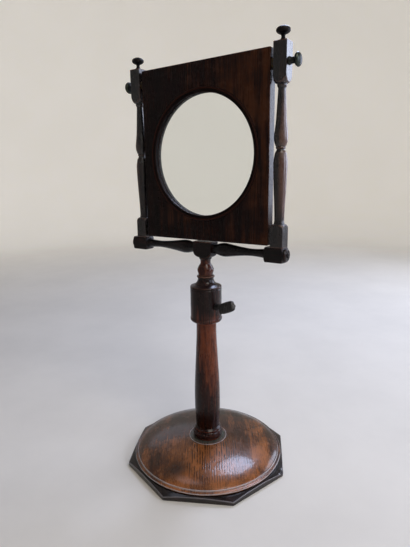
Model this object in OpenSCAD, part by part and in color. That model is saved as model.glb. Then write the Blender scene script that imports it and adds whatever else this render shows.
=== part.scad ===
// Stand magnifier: a lens in a tilting mahogany panel, hung between two turned posts on a column.
// The height slides and turns in a collar with a wing screw, and the foot is a dome on an octagonal plinth.
// Units are millimetres. The base stands on Z = 0 with the column on the Z axis, and the panel faces -Y.

/* [Foot] */
// Width of the octagonal plinth across its flats
plinth_across = 193; // [170:0.5:230]
// Height of the plinth's edge at its corners
plinth_corner_h = 4.3; // [3:0.1:8]
// Rise of the plinth's turned slope from its corners in to the dome
plinth_rise = 3.2; // [1.5:0.1:6]
// Space from the dome's rim to the middle of a flat
dome_margin = 1.9; // [0:0.1:10]
// Radius of the bead round the rim of the dome
rim_bead_r = 1.7; // [1:0.1:2.5]
// Height of the step above the bead
rim_step_h = 1.6; // [0.8:0.1:3]
// Rise of the dome from its step to the crown
dome_rise = 12.6; // [8:0.1:30]
// Radius of the flat ring on the crown that the column stands on
crown_ring_r = 24; // [20:0.1:30]
// Height of that ring above the dome
crown_ring_h = 0.7; // [0.4:0.1:2]
// Turn of the foot and clamp about the column, seen from above
foot_turn = -17.7; // [-45:0.1:45]

/* [Column] */
// Height of the column from the crown ring to the collar
column_h = 156; // [120:1:220]
// Radius of the torus at the foot of the column
torus_r = 18.8; // [17:0.1:22]
// Height of the torus and the fillet above it
torus_h = 13; // [10:0.1:18]
// Radius of the fillet above the torus
fillet_r = 17; // [16.4:0.1:20]
// Radius of the column at its foot
column_foot_r = 14.7; // [13:0.1:16]
// Radius of the column at its swell
column_swell_r = 16.2; // [14:0.1:18]
// Radius of the column at its top
column_top_r = 12.4; // [11.5:0.1:14]
// Radius of the column's spigot in the collar
spigot_r = 10; // [9:0.1:11]
// Length of that spigot
spigot_h = 10; // [8:0.5:11]
// Radius of the tenon that goes down into the dome
foot_tenon_r = 12; // [8:0.1:14]
// Length of that tenon
foot_tenon_h = 13; // [8:0.5:15]

/* [Collar] */
// Height of the collar's drum
drum_h = 45.7; // [38:0.1:60]
// Radius of the drum
drum_r = 19.1; // [17:0.1:24]
// Height of the rounded underside of the drum
drum_round_h = 4.2; // [3:0.1:8]
// Radius of the bottom of the rounded underside
drum_foot_r = 13.7; // [12.9:0.1:16]
// Height of the neck above the drum
neck_h = 12.3; // [10:0.1:25]
// Radius of the neck
neck_r = 9.7; // [8.5:0.1:11]
// Radius of the lip at the top of the neck
lip_r = 10.8; // [9.5:0.1:12]

/* [Rod and head] */
// Radius of the sliding rod
rod_r = 6; // [4.5:0.1:7]
// Length of the rod below the collar's lip
rod_h = 150; // [110:1:160]
// Radius of the spigot on the rod that the head turns on
swivel_r = 4.5; // [3:0.1:5]
// Length of that spigot
swivel_h = 10; // [6:0.5:12]
// Height of the turned part of the head, from the lip to the square block
head_turned_h = 22.5; // [18:0.5:30]
// Radius of the bulb
bulb_r = 10; // [8.5:0.1:14]
// Radius of the head's underside
head_foot_r = 8.5; // [7.5:0.1:9.5]
// Radius of the neck under the block
head_neck_r = 6.3; // [5:0.1:7.5]
// Width of the square block, along the crossbar
block_w = 25.6; // [20:0.1:34]
// Height of the block
block_h = 18.8; // [17.6:0.1:28]
// Height of the block's turned shoulder
block_round_h = 8; // [4:0.1:9]

/* [Crossbar] */
// Side of the square stock that the crossbar and block are turned from
bar_stock = 16; // [14:0.1:20]
// Radius of the arms at their swell
arm_swell_r = 7.9; // [6:0.1:8]
// Radius of the arms at their waist
arm_waist_r = 4.2; // [3.5:0.1:6]
// Length of the square part of an end block
end_block_w = 22.5; // [22.5:0.1:28]
// How far both end blocks lie to the left of their posts, seen from the front
bar_shift = 3.2; // [0:0.1:3.2]
// How far the crossbar's axis lies above the middle of the block
bar_rise = 1.2; // [0:0.1:1.3]
// Length of the turned end outside an end block
end_turned_w = 2.6; // [2:0.1:6]
// Radius of the turned ring on the end
end_ring_r = 7; // [4:0.1:7.5]
// Radius of the button in the middle of the end
button_r = 3; // [2:0.1:4]
// How far the button stands out
button_h = 1.4; // [1:0.1:4]
// Radius of the tenons of the arms and posts
tenon_r = 4; // [3:0.1:4.5]
// Length of those tenons
tenon_h = 8; // [5:0.1:9]

/* [Posts] */
// Side of the square stock that the posts are turned from
post_stock = 14.5; // [13:0.1:16]
// Height of the lower block of a post
low_block_h = 24.9; // [18:0.1:40]
// Height of the turned shoulder of the lower block
low_round_h = 6; // [3:0.1:10]
// How far the posts stand above the panel's top edge
post_rise = 3.9; // [0:0.1:10]
// Height of the top block of a post
top_block_h = 38.9; // [34:0.1:60]
// Height of the turned shoulder under the top block
top_round_h = 11; // [6:0.1:14]
// Radius of the two swells of a post
swell_r = 7.2; // [5:0.1:7.2]
// Radius of a post at the groove between its swells
waist_r = 4.2; // [3:0.1:5]
// Radius of a post above its lower block
post_foot_r = 5.3; // [4:0.1:6]
// Radius of a post under its top block
post_neck_r = 3.9; // [3:0.1:5]

/* [Finials] */
// Height of a finial above its post
finial_h = 13.8; // [11:0.1:22]
// Radius of a finial's cap
finial_cap_r = 7.2; // [5:0.1:9]
// Thickness of a finial's cap
finial_cap_h = 8; // [5:0.1:9]
// Radius of a finial's neck
finial_neck_r = 2.2; // [1.5:0.1:3.5]
// Radius of a finial's spigot in the post
finial_spigot_r = 2.5; // [1.5:0.1:3.5]
// Length of that spigot
finial_spigot_h = 9; // [5:0.1:9]

/* [Lens panel] */
// Width of the panel at each side of the opening
side_rail = 17.5; // [15.5:0.1:40]
// Height of the panel above the opening
top_rail = 33.1; // [26:0.1:60]
// Height of the panel below the opening
bottom_rail = 29.3; // [13:0.1:60]
// Thickness of the panel
panel_t = 12.5; // [11.5:0.1:16]
// Height of the pivots below the panel's top edge
pivot_drop = 14.9; // [9:0.1:17]
// Space between the panel's side and a post
side_gap = 3.2; // [2.2:0.1:6]
// Space between the panel's bottom edge and the square block
bottom_gap = 1.5; // [1:0.1:6]

/* [Lens and rings] */
// Radius of the clear opening
opening_r = 67.5; // [50:0.1:90]
// How far the lens reaches past the opening all round
lens_seat = 3; // [2:0.1:4]
// Thickness of the lens at its edge
lens_edge_t = 2.5; // [1.5:0.1:3]
// Radius of curvature of each face of the lens
lens_curve_r = 700; // [600:10:1500]
// Width of the bezel ring
bezel_w = 5.9; // [5.1:0.1:9]
// How far the bezel ring stands proud of the panel
bezel_proud = 0.6; // [0.2:0.1:2]
// Depth of the bezel ring's recess in the panel
bezel_depth = 4; // [3:0.1:5]
// Width of the incised line on the bezel ring
line_w = 0.9; // [0.5:0.1:1.2]
// Width of the retaining ring on the back
retainer_w = 10.5; // [9.5:0.1:13]
// Thickness of the retaining ring's flange
retainer_t = 2; // [1.5:0.1:3]
// Number of screws round the retaining ring
ring_screw_count = 6; // [3:1:12]

/* [Pivots] */
// Radius of a pivot screw's shank
pivot_r = 2.5; // [1.5:0.1:2.8]
// Depth of a pivot screw in the panel
pivot_depth = 10; // [6:0.1:12]
// Radius of the brass bush in the panel
bush_r = 4; // [3.3:0.1:4.4]
// Length of the bush
bush_h = 14; // [12.5:0.1:20]
// Radius of the washer between post and panel
washer_r = 5.6; // [4:0.1:7]
// Length of a pivot screw's stem outside its post
stem_h = 6.6; // [5:0.1:12]
// Radius of that stem
stem_r = 3.1; // [2.9:0.1:4]
// Radius of a pivot screw's cap
cap_r = 6.8; // [5:0.1:9]
// Thickness of that cap
cap_h = 5.4; // [4:0.1:8]

/* [Clamp] */
// Height of the clamp hole above the bottom of the drum, at the drum's surface
clamp_h = 22.3; // [20:0.1:24]
// Upward slant of the clamp screw
clamp_slant = 13; // [0:0.5:15]
// Radius of the clamp screw
clamp_r = 3.6; // [3:0.1:4.2]
// Distance from the column's axis to the root of the wing
wing_reach = 28.5; // [22:0.5:36]
// Length of the wing
wing_w = 25; // [18:0.5:36]
// Width of the wing
wing_h = 12.8; // [11:0.1:20]
// Thickness of the wing at its root
wing_t = 7.4; // [6.5:0.1:9]
// Thickness of the wing at its tip
wing_tip_t = 5.4; // [3:0.1:6.5]
// Tilt of the wing from the line of its screw
wing_tilt = 11; // [0:0.5:20]
// How far the middle of the wing's root lies below the screw's axis
wing_drop = 3; // [0:0.1:3.5]
// Radius of the screw's tenon in the wing
wing_tenon_r = 2.2; // [1.5:0.1:2.6]
// Length of that tenon
wing_tenon_h = 9; // [5:0.5:12]

/* [Screws] */
// Radius of the wood screws' shanks under the plinth
wood_screw_r = 2; // [1.5:0.1:3]
// Length of those screws
wood_screw_h = 12; // [8:0.5:13]
// Distance of those screws from the column's axis
wood_screw_place = 62; // [40:0.5:70]
// Number of those screws
wood_screw_count = 4; // [3:1:8]
// Radius of the shank of the screw that holds the column
column_screw_r = 3; // [2:0.1:4]
// Length of that screw above its washer
column_screw_h = 38; // [20:0.5:48]
// Radius of the washer under that screw
column_washer_r = 9; // [7:0.1:12]

/* [Fits] */
// Radial clearance of a part that slides or turns in another
run_fit = 0.06; // [0.02:0.01:0.1]
// Radial clearance of a glued or screwed part in its hole
glue_fit = 0.05; // [0.02:0.01:0.1]
// Space between moving faces that don't bear on each other
face_gap = 0.3; // [0.2:0.05:0.6]

/* [Quality] */
// Facets round a circle
$fn = 96; // [48:8:160]
// Steps in each stretch of a turned curve
curve_steps = 4; // [2:1:8]

/* [Hidden] */

// How far a cutting shape runs past the face that it opens, or a tenon into its own piece
over = 1;

// Sides of the plinth and the turn that puts a flat square to the clamp
plinth_sides = 8;
plinth_corner_turn = 180 / plinth_sides;
plinth_corner_r = plinth_across / 2 / cos(plinth_corner_turn);
plinth_h = plinth_corner_h + plinth_rise;
dome_r = plinth_across / 2 - dome_margin;
dome_z = plinth_h + 2 * rim_bead_r + rim_step_h;
crown_z = dome_z + dome_rise;
seat_z = crown_z + crown_ring_h;
// The step stands this far in from the rim, and the dome is part of an ellipse that ends this far outside it
dome_step_in = 3.4;
dome_spread = 2.4;
// The dome's curve starts this far in from the step's edge
dome_edge_in = 1;

collar_z = seat_z + column_h;
drum_top_z = collar_z + drum_h;
lip_z = drum_top_z + neck_h;
head_z = lip_z + face_gap;
block_z = head_z + head_turned_h;
block_top_z = block_z + block_h;

bar_z = block_z + block_h / 2 + bar_rise;
panel_z = block_top_z + bottom_gap;
panel_w = 2 * (opening_r + side_rail);
panel_h = bottom_rail + 2 * opening_r + top_rail;
panel_top_z = panel_z + panel_h;
pivot_z = panel_top_z - pivot_drop;
lens_z = panel_z + bottom_rail + opening_r;
lens_r = opening_r + lens_seat;
bezel_r = opening_r + bezel_w;
retainer_r = opening_r + retainer_w;
post_x = panel_w / 2 + side_gap + post_stock / 2;
post_z = bar_z + bar_stock / 2;
turned_z = post_z + low_block_h;
post_top_z = panel_top_z + post_rise;
top_block_z = post_top_z - top_block_h;
post_turned_h = top_block_z - turned_z;
post_out_x = post_x + post_stock / 2;
arm_x = block_w / 2;

// The drum's lower edge swells out by this much above its rounded underside
drum_swell = 0.5;
drum_groove_drop = 3.4;
drum_groove_w = 1;
drum_groove_depth = 0.6;
drum_edge = 1.2;
lip_edge = 0.6;
lip_t = 1.8;

// Fillets turned where a round part meets a square one stand out by this much
neck_fillet = 1.4;
post_fillet = 1;
fillet_h = 2;
// Size of the turned shoulders of an end block, and of the groove and button hole in its end
end_shoulder = 2.5;
end_groove_h = 0.6;
button_pin_h = 2;
button_pin_r = 1.6;
// Square stock turned at its corners loses this much at an end
block_edge = 1;
post_edge = 0.7;

// Depths inside the panel, measured along Y from its middle
bezel_back_y = bezel_depth - panel_t / 2;
lens_front_y = bezel_back_y + glue_fit;
lens_back_y = lens_front_y + lens_edge_t;
pocket_r = lens_r + glue_fit;
ring_screw_place = (pocket_r + retainer_r) / 2;
ring_screw_r = 1.1;
ring_screw_head_r = 2.1;
ring_screw_head_h = 1.2;
ring_screw_h = 6.5;
ring_slot_w = 0.5;
ring_slot_h = 0.6;
retainer_edge = 0.6;
bezel_edge = 0.6;
bezel_lip = 1.6;
line_depth = 0.7;

clamp_z = collar_z + clamp_h;
clamp_origin_z = clamp_z - drum_r * tan(clamp_slant);
pad_back = drum_r / 2;
screw_top = wing_reach / cos(clamp_slant);

// Screws under the plinth sit this far above its face
screw_recess = 0.6;
wood_head_r = 4;
wood_head_h = 2.6;
wood_slot_w = 1.2;
wood_slot_h = 1;
column_recess_h = 4;
washer_t = 1;
column_head_r = 6;
column_head_h = 2;
column_slot_w = 1.4;
column_slot_h = 1;

// Quarter circles and quarter ellipses, as lists of [radius, height]
function ellipse_arc(centre, size, from, to, steps) = [
  for (i = [0:steps])
    let (a = from + (to - from) * i / steps)
      centre + [size[0] * cos(a), size[1] * sin(a)]
];

// A smooth curve through a few chosen points, each stretch cut into equal steps
function between(a, b, c, d, t) =
  (2 * b + (c - a) * t + (2 * a - 5 * b + 4 * c - d) * t * t + (3 * b - a - 3 * c + d) * t * t * t) / 2;

function smooth(p) = concat(
  [
    for (i = [0:len(p) - 2])
      for (j = [0:curve_steps - 1])
        between(p[max(i - 1, 0)], p[i], p[i + 1], p[min(i + 2, len(p) - 1)], j / curve_steps)
  ],
  [p[len(p) - 1]]
);

// Chosen points given as shares of a length, laid along a turned stretch from one height
function along(points, z, h) = [for (p = points) [p[0], z + p[1] * h]];

// A solid turned about Z from an outline of [radius, height] points, bottom first
module turned(outline) {
  rotate_extrude()
    polygon(concat([[0, outline[0][1]]], outline, [[0, outline[len(outline) - 1][1]]]));
}

// The same solid turned about X, with its heights along +X at the crossbar's level
module turned_x(outline, z) {
  translate([0, 0, z])
    rotate([0, 90, 0])
      turned(outline);
}

// The same solid turned about Y, with its heights along +Y from the lens centre
module turned_y(outline) {
  translate([0, 0, lens_z])
    rotate([-90, 0, 0])
      turned(outline);
}

// A ring about Y from a closed outline of [radius, depth] points
module ring_y(outline) {
  translate([0, 0, lens_z])
    rotate([-90, 0, 0])
      rotate_extrude()
        polygon(outline);
}

module left_side() {
  mirror([1, 0, 0])
    children();
}

module foot_frame() {
  rotate([0, 0, foot_turn])
    children();
}

// The clamp screw's own frame: Z runs out along the screw from the column's axis
module clamp_frame() {
  foot_frame()
    translate([0, 0, clamp_origin_z])
      rotate([0, 90 - clamp_slant, 0])
        children();
}

module around(count, place) {
  for (i = [0:count - 1])
    rotate([0, 0, 360 * i / count])
      translate([place, 0, 0])
        children();
}

module wood_screw_holes() {
  foot_frame()
    around(wood_screw_count, wood_screw_place)
      translate([0, 0, screw_recess])
        cylinder(h = wood_screw_h + glue_fit, r = wood_screw_r + glue_fit);
}

// An octagon whose top is a shallow turned cone outside the dome
module plinth() {
  slope = plinth_rise / (plinth_corner_r - dome_r);
  color([0.16, 0.12, 0.10])
    difference() {
      intersection() {
        foot_frame()
          rotate([0, 0, plinth_corner_turn])
            cylinder(h = plinth_h, r = plinth_corner_r, $fn = plinth_sides);
        turned([
          [plinth_corner_r + over, 0],
          [plinth_corner_r + over, plinth_corner_h - over * slope],
          [dome_r, plinth_h]
        ]);
      }
      foot_frame()
        around(wood_screw_count, wood_screw_place)
          translate([0, 0, -over])
            cylinder(h = screw_recess + over, r = wood_head_r + glue_fit);
      foot_frame()
        around(wood_screw_count, wood_screw_place)
          translate([0, 0, screw_recess])
            cylinder(h = wood_head_h, r1 = wood_head_r + glue_fit, r2 = wood_screw_r + glue_fit);
      wood_screw_holes();
      translate([0, 0, -over])
        cylinder(h = column_recess_h + over, r = column_washer_r + glue_fit);
      cylinder(h = plinth_h + over, r = column_screw_r + glue_fit);
    }
}

module plinth_screws() {
  color([0.45, 0.43, 0.40])
    foot_frame()
      around(wood_screw_count, wood_screw_place)
        translate([0, 0, screw_recess])
          difference() {
            union() {
              cylinder(h = wood_head_h, r1 = wood_head_r, r2 = wood_screw_r);
              cylinder(h = wood_screw_h, r = wood_screw_r);
            }
            translate([-wood_head_r, -wood_slot_w / 2, -over])
              cube([2 * wood_head_r, wood_slot_w, wood_slot_h + over]);
          }
}

module foot_dome() {
  step_r = dome_r - dome_step_in;
  bead_x = dome_r - rim_bead_r;
  bead_z = plinth_h + rim_bead_r;
  bead = ellipse_arc([bead_x, bead_z], [rim_bead_r, rim_bead_r], -90, 60, 8);
  step = [[step_r, dome_z - rim_step_h], [step_r, dome_z]];
  reach = step_r + dome_spread;
  edge = acos((step_r - dome_edge_in) / reach);
  inner = acos(crown_ring_r / reach);
  height = dome_rise / (sin(inner) - sin(edge));
  dome = ellipse_arc([0, dome_z - height * sin(edge)], [reach, height], edge, inner, 16);
  ring = [[crown_ring_r, seat_z]];
  color([0.42, 0.22, 0.10])
    difference() {
      turned(concat(bead, step, dome, ring));
      translate([0, 0, seat_z - foot_tenon_h])
        cylinder(h = foot_tenon_h + over, r = foot_tenon_r + glue_fit);
      cylinder(h = seat_z, r = column_screw_r + glue_fit);
      wood_screw_holes();
    }
}

module column() {
  torus_mid = (torus_h - fillet_h) / 2;
  torus = ellipse_arc([torus_r - torus_mid / 2, seat_z + torus_mid], [torus_mid / 2, torus_mid], -90, 90, 10);
  fillet = [[fillet_r, seat_z + torus_h - fillet_h], [fillet_r, seat_z + torus_h]];
  shaft_z = seat_z + torus_h + fillet_h;
  shaft_h = collar_z - shaft_z;
  shaft = smooth(along([
    [column_foot_r, 0], [column_swell_r - 0.3, 0.14], [column_swell_r, 0.24],
    [column_swell_r * 0.9 + column_top_r * 0.1, 0.42], [(column_swell_r + column_top_r) / 2, 0.62],
    [column_top_r * 0.95 + column_swell_r * 0.05, 0.86], [column_top_r, 1]
  ], shaft_z, shaft_h));
  color([0.30, 0.12, 0.07])
    difference() {
      union() {
        turned(concat(torus, fillet, shaft));
        translate([0, 0, seat_z - foot_tenon_h + face_gap])
          cylinder(h = foot_tenon_h, r = foot_tenon_r);
        translate([0, 0, collar_z - over])
          cylinder(h = spigot_h + over, r = spigot_r);
      }
      translate([0, 0, lip_z - rod_h - face_gap])
        cylinder(h = rod_h, r = rod_r + run_fit);
      translate([0, 0, column_recess_h])
        cylinder(h = column_screw_h + glue_fit, r = column_screw_r + glue_fit);
    }
}

module column_screw() {
  top = column_recess_h - washer_t;
  color([0.45, 0.43, 0.40])
    difference() {
      union() {
        translate([0, 0, top - column_head_h])
          cylinder(h = column_head_h, r = column_head_r);
        translate([0, 0, top - over])
          cylinder(h = column_screw_h + washer_t + over, r = column_screw_r);
      }
      translate([-column_head_r, -column_slot_w / 2, top - column_head_h - over])
        cube([2 * column_head_r, column_slot_w, column_slot_h + over]);
    }
}

module column_washer() {
  color([0.5, 0.48, 0.44])
    translate([0, 0, column_recess_h - washer_t])
      difference() {
        cylinder(h = washer_t, r = column_washer_r);
        translate([0, 0, -over])
          cylinder(h = washer_t + 2 * over, r = column_screw_r + glue_fit);
      }
}

module collar() {
  groove_z = drum_top_z - drum_groove_drop;
  swell = drum_r + drum_swell;
  swell_z = collar_z + drum_round_h;
  round_under = ellipse_arc([drum_foot_r, swell_z], [swell - drum_foot_r, drum_round_h], -90, 0, 6);
  drum = [
    [swell, swell_z + 3 * drum_swell], [drum_r, swell_z + 4 * drum_swell],
    [drum_r, groove_z - drum_groove_w / 2], [drum_r - drum_groove_depth, groove_z],
    [drum_r, groove_z + drum_groove_w / 2], [drum_r, drum_top_z - drum_edge], [drum_r - drum_edge, drum_top_z]
  ];
  neck = smooth(along([
    [neck_r + 4, 0.13], [neck_r + 1.4, 0.34], [neck_r, 0.6], [neck_r, 0.78]
  ], drum_top_z, neck_h));
  lip = [[lip_r, lip_z - lip_t], [lip_r, lip_z - lip_edge], [lip_r - lip_edge, lip_z]];
  color([0.14, 0.09, 0.08])
    difference() {
      turned(concat(round_under, drum, neck, lip));
      translate([0, 0, collar_z - over])
        cylinder(h = neck_h + drum_h + 2 * over, r = rod_r + run_fit);
      translate([0, 0, collar_z - over])
        cylinder(h = spigot_h + face_gap + over, r = spigot_r + glue_fit);
      clamp_frame()
        cylinder(h = 2 * drum_r, r = clamp_r + run_fit);
    }
}

// The pad that the screw presses on the rod, hollowed to the rod's round
module clamp_pad() {
  color([0.62, 0.50, 0.26])
    difference() {
      clamp_frame()
        cylinder(h = pad_back, r = clamp_r);
      translate([0, 0, collar_z])
        cylinder(h = drum_h, r = rod_r + face_gap / 2);
    }
}

module clamp_screw() {
  color([0.16, 0.11, 0.09])
    clamp_frame() {
      translate([0, 0, pad_back])
        cylinder(h = screw_top - pad_back, r = clamp_r);
      translate([0, 0, screw_top - over])
        cylinder(h = wing_tenon_h + over, r = wing_tenon_r);
    }
}

// A flat wing with rounded corners and a thinner tip, tilted up from its screw and cut square at its root
module clamp_wing() {
  half_h = wing_h / 2;
  upper = smooth([
    [half_h * 0.78, 0], [half_h * 0.96, wing_w * 0.14], [half_h, wing_w * 0.4],
    [half_h * 0.97, wing_w * 0.72], [half_h * 0.8, wing_w * 0.92], [half_h * 0.42, wing_w]
  ]);
  lower = [for (i = [len(upper) - 1:-1:0]) [-upper[i][0], upper[i][1]]];
  root = [[-half_h * 0.7, -over], [half_h * 0.7, -over]];
  side_view = [
    [-wing_t / 2, -over], [wing_t / 2, -over],
    [wing_tip_t / 2, wing_w + over], [-wing_tip_t / 2, wing_w + over]
  ];
  color([0.20, 0.15, 0.12])
    clamp_frame()
      difference() {
        translate([wing_drop, 0, screw_top])
          rotate([0, -wing_tilt, 0])
            intersection() {
              rotate([90, 0, 0])
                translate([0, 0, -wing_t])
                  linear_extrude(height = 2 * wing_t)
                    polygon(concat(root, upper, lower));
              rotate([90, 0, 90])
                translate([0, 0, -wing_h])
                  linear_extrude(height = 2 * wing_h)
                    polygon(side_view);
            }
        translate([-wing_w, -wing_w, screw_top - wing_w])
          cube([2 * wing_w, 2 * wing_w, wing_w]);
        translate([0, 0, screw_top - over])
          cylinder(h = wing_tenon_h + glue_fit + over, r = wing_tenon_r + glue_fit);
      }
}

module rod() {
  color([0.34, 0.17, 0.09])
    union() {
      translate([0, 0, lip_z - rod_h])
        cylinder(h = rod_h + face_gap, r = rod_r);
      translate([0, 0, head_z - over])
        cylinder(h = swivel_h + over, r = swivel_r);
    }
}

// A bulb and neck under a block that is turned round at its lower corners
module stem_head() {
  corner_r = norm([block_w, bar_stock]) / 2;
  foot_r = head_neck_r + neck_fillet;
  bulb = smooth(along([
    [head_foot_r, 0], [bulb_r - 0.9, 0.12], [bulb_r, 0.3], [head_foot_r, 0.49],
    [head_neck_r, 0.66], [head_neck_r, 0.84]
  ], head_z, head_turned_h));
  foot = [[foot_r, block_z - 1.6], [foot_r, block_z + over]];
  shoulder = ellipse_arc([foot_r, block_z + block_round_h], [corner_r - foot_r, block_round_h], -90, 0, 8);
  top = [[corner_r, block_top_z - block_edge], [corner_r - block_edge, block_top_z]];
  color([0.24, 0.12, 0.08])
    difference() {
      union() {
        turned(concat(bulb, foot));
        intersection() {
          translate([-block_w / 2, -bar_stock / 2, block_z])
            cube([block_w, bar_stock, block_h]);
          turned(concat(shoulder, top));
        }
      }
      translate([0, 0, head_z - over])
        cylinder(h = swivel_h + face_gap + over, r = swivel_r + run_fit);
      for (side = [0, 1])
        mirror([side, 0, 0])
          translate([arm_x - tenon_h - face_gap, 0, bar_z])
            rotate([0, 90, 0])
              cylinder(h = tenon_h + face_gap + over, r = tenon_r + glue_fit);
    }
}

// One arm of the crossbar with its end block, lying along +X, and how far the block lies out from its post
module arm(shift) {
  corner_r = bar_stock / 2 * sqrt(2);
  end_in_x = post_x + shift - end_block_w / 2;
  end_out_x = end_in_x + end_block_w;
  face_x = end_out_x + end_turned_w;
  foot_r = arm_waist_r * 1.3;
  baluster = smooth(along([
    [arm_swell_r * 0.72, 0], [arm_swell_r * 0.76, 0.06], [arm_swell_r * 0.97, 0.16], [arm_swell_r, 0.25],
    [arm_swell_r * 0.8, 0.41], [arm_swell_r * 0.2 + arm_waist_r * 0.8, 0.57], [arm_waist_r, 0.7],
    [arm_waist_r, 0.8], [arm_waist_r * 1.14, 0.93], [foot_r, 1]
  ], arm_x, end_in_x - arm_x));
  shoulder_in = ellipse_arc(
    [corner_r - end_shoulder, end_in_x + end_shoulder], [end_shoulder, end_shoulder], -90, 0, 5
  );
  shoulder_out = ellipse_arc(
    [end_ring_r + 0.7, end_out_x - end_shoulder], [corner_r - end_ring_r - 0.7, end_shoulder], 0, 90, 5
  );
  end_rings = [
    [end_ring_r + 0.5, end_out_x + end_turned_w * 0.5], [end_ring_r, face_x], [end_ring_r - 0.9, face_x],
    [end_ring_r - 1.4, face_x - end_groove_h], [end_ring_r - 1.9, face_x - end_groove_h],
    [end_ring_r - 2.2, face_x]
  ];
  difference() {
    union() {
      turned_x(concat(baluster, [[foot_r, end_in_x + over]]), bar_z);
      intersection() {
        translate([end_in_x, -bar_stock / 2, bar_z - bar_stock / 2])
          cube([end_block_w + end_turned_w, bar_stock, bar_stock]);
        turned_x(concat(shoulder_in, shoulder_out, end_rings), bar_z);
      }
      translate([arm_x - tenon_h, 0, bar_z])
        rotate([0, 90, 0])
          cylinder(h = tenon_h + over, r = tenon_r);
    }
    translate([post_x, 0, post_z - tenon_h - face_gap])
      cylinder(h = tenon_h + face_gap + over, r = tenon_r + glue_fit);
    translate([face_x - button_pin_h - glue_fit, 0, bar_z])
      rotate([0, 90, 0])
        cylinder(h = button_pin_h + glue_fit + over, r = button_pin_r + glue_fit);
  }
}

module left_arm() {
  color([0.15, 0.09, 0.07])
    left_side()
      arm(bar_shift);
}

module right_arm() {
  color([0.15, 0.09, 0.07])
    arm(-bar_shift);
}

// A small turned button in the middle of an end block's outer end
module end_button(shift) {
  face_x = post_x + shift + end_block_w / 2 + end_turned_w;
  union() {
    translate([face_x - button_pin_h, 0, bar_z])
      rotate([0, 90, 0])
        cylinder(h = button_pin_h + button_h / 2, r = button_pin_r);
    turned_x(ellipse_arc([0, face_x], [button_r, button_h], 0, 84, 8), bar_z);
  }
}

module left_end_button() {
  color([0.07, 0.05, 0.05])
    left_side()
      end_button(bar_shift);
}

module right_end_button() {
  color([0.07, 0.05, 0.05])
    end_button(-bar_shift);
}

// One post on the +X side: square blocks at both ends with a double vase between them
module post() {
  half = post_stock / 2;
  corner_r = half * sqrt(2);
  neck_ring_r = post_neck_r + post_fillet;
  low_round_z = turned_z - low_round_h;
  low = concat(
    [[corner_r, post_z]],
    ellipse_arc([half - post_fillet, low_round_z], [corner_r + post_fillet - half, low_round_h], 0, 90, 6)
  );
  lower_vase = smooth(along([
    [half - 1.4, 0], [post_foot_r, 0.025], [post_foot_r, 0.06], [swell_r * 0.8, 0.16],
    [swell_r * 0.9, 0.26], [swell_r, 0.4], [swell_r * 0.99, 0.47], [swell_r * 0.82, 0.525]
  ], turned_z, post_turned_h));
  waist = along([
    [waist_r + 0.6, 0.538], [waist_r, 0.545], [waist_r, 0.552], [waist_r + 0.9, 0.556],
    [waist_r + 0.9, 0.565], [waist_r + 0.5, 0.57]
  ], turned_z, post_turned_h);
  upper_vase = smooth(along([
    [swell_r * 0.76, 0.575], [swell_r * 0.97, 0.61], [swell_r, 0.645], [swell_r * 0.9, 0.69],
    [(swell_r + post_neck_r) / 2, 0.75], [post_neck_r + 0.9, 0.84], [post_neck_r, 0.97]
  ], turned_z, post_turned_h));
  neck_ring = [[neck_ring_r, top_block_z - fillet_h], [neck_ring_r, top_block_z + over]];
  top = concat(
    ellipse_arc([neck_ring_r, top_block_z + top_round_h], [corner_r - neck_ring_r, top_round_h], -90, 0, 8),
    [[corner_r, post_top_z - post_edge], [corner_r - post_edge, post_top_z]]
  );
  difference() {
    translate([post_x, 0, 0])
      union() {
        turned(concat(lower_vase, waist, upper_vase, neck_ring));
        intersection() {
          translate([-half, -half, post_z])
            cube([post_stock, post_stock, post_top_z - post_z]);
          union() {
            turned(low);
            turned(top);
          }
        }
        translate([0, 0, post_z - tenon_h])
          cylinder(h = tenon_h + over, r = tenon_r);
      }
    translate([post_x, 0, post_top_z - finial_spigot_h - face_gap])
      cylinder(h = finial_spigot_h + face_gap + over, r = finial_spigot_r + glue_fit);
    translate([post_x - post_stock, 0, pivot_z])
      rotate([0, 90, 0])
        cylinder(h = 2 * post_stock, r = pivot_r + run_fit);
  }
}

module left_post() {
  color([0.14, 0.08, 0.07])
    left_side()
      post();
}

module right_post() {
  color([0.14, 0.08, 0.07])
    post();
}

// A flattened ball on a slim neck, with a spigot in the top of its post
module finial() {
  cap_z = post_top_z + finial_h - finial_cap_h / 2;
  under = asin(finial_neck_r / finial_cap_r);
  translate([post_x, 0, 0])
    union() {
      translate([0, 0, post_top_z - finial_spigot_h])
        cylinder(h = finial_spigot_h + over, r = finial_spigot_r);
      turned(concat(
        smooth([
          [finial_neck_r + 1.9, post_top_z], [finial_neck_r + 1.5, post_top_z + 0.8],
          [finial_neck_r, post_top_z + 2.6], [finial_neck_r, cap_z - finial_cap_h / 2 * cos(under) - 0.3]
        ]),
        ellipse_arc([0, cap_z], [finial_cap_r, finial_cap_h / 2], under - 90, 86, 16)
      ));
    }
}

module left_finial() {
  color([0.07, 0.05, 0.05])
    left_side()
      finial();
}

module right_finial() {
  color([0.07, 0.05, 0.05])
    finial();
}

// The washer that keeps the panel clear of its post
module pivot_washer() {
  inner_x = panel_w / 2 + face_gap;
  translate([inner_x, 0, pivot_z])
    rotate([0, 90, 0])
      difference() {
        cylinder(h = side_gap - face_gap, r = washer_r);
        translate([0, 0, -over])
          cylinder(h = side_gap + over, r = pivot_r + run_fit);
      }
}

module left_washer() {
  color([0.60, 0.47, 0.22])
    left_side()
      pivot_washer();
}

module right_washer() {
  color([0.60, 0.47, 0.22])
    pivot_washer();
}

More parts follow.
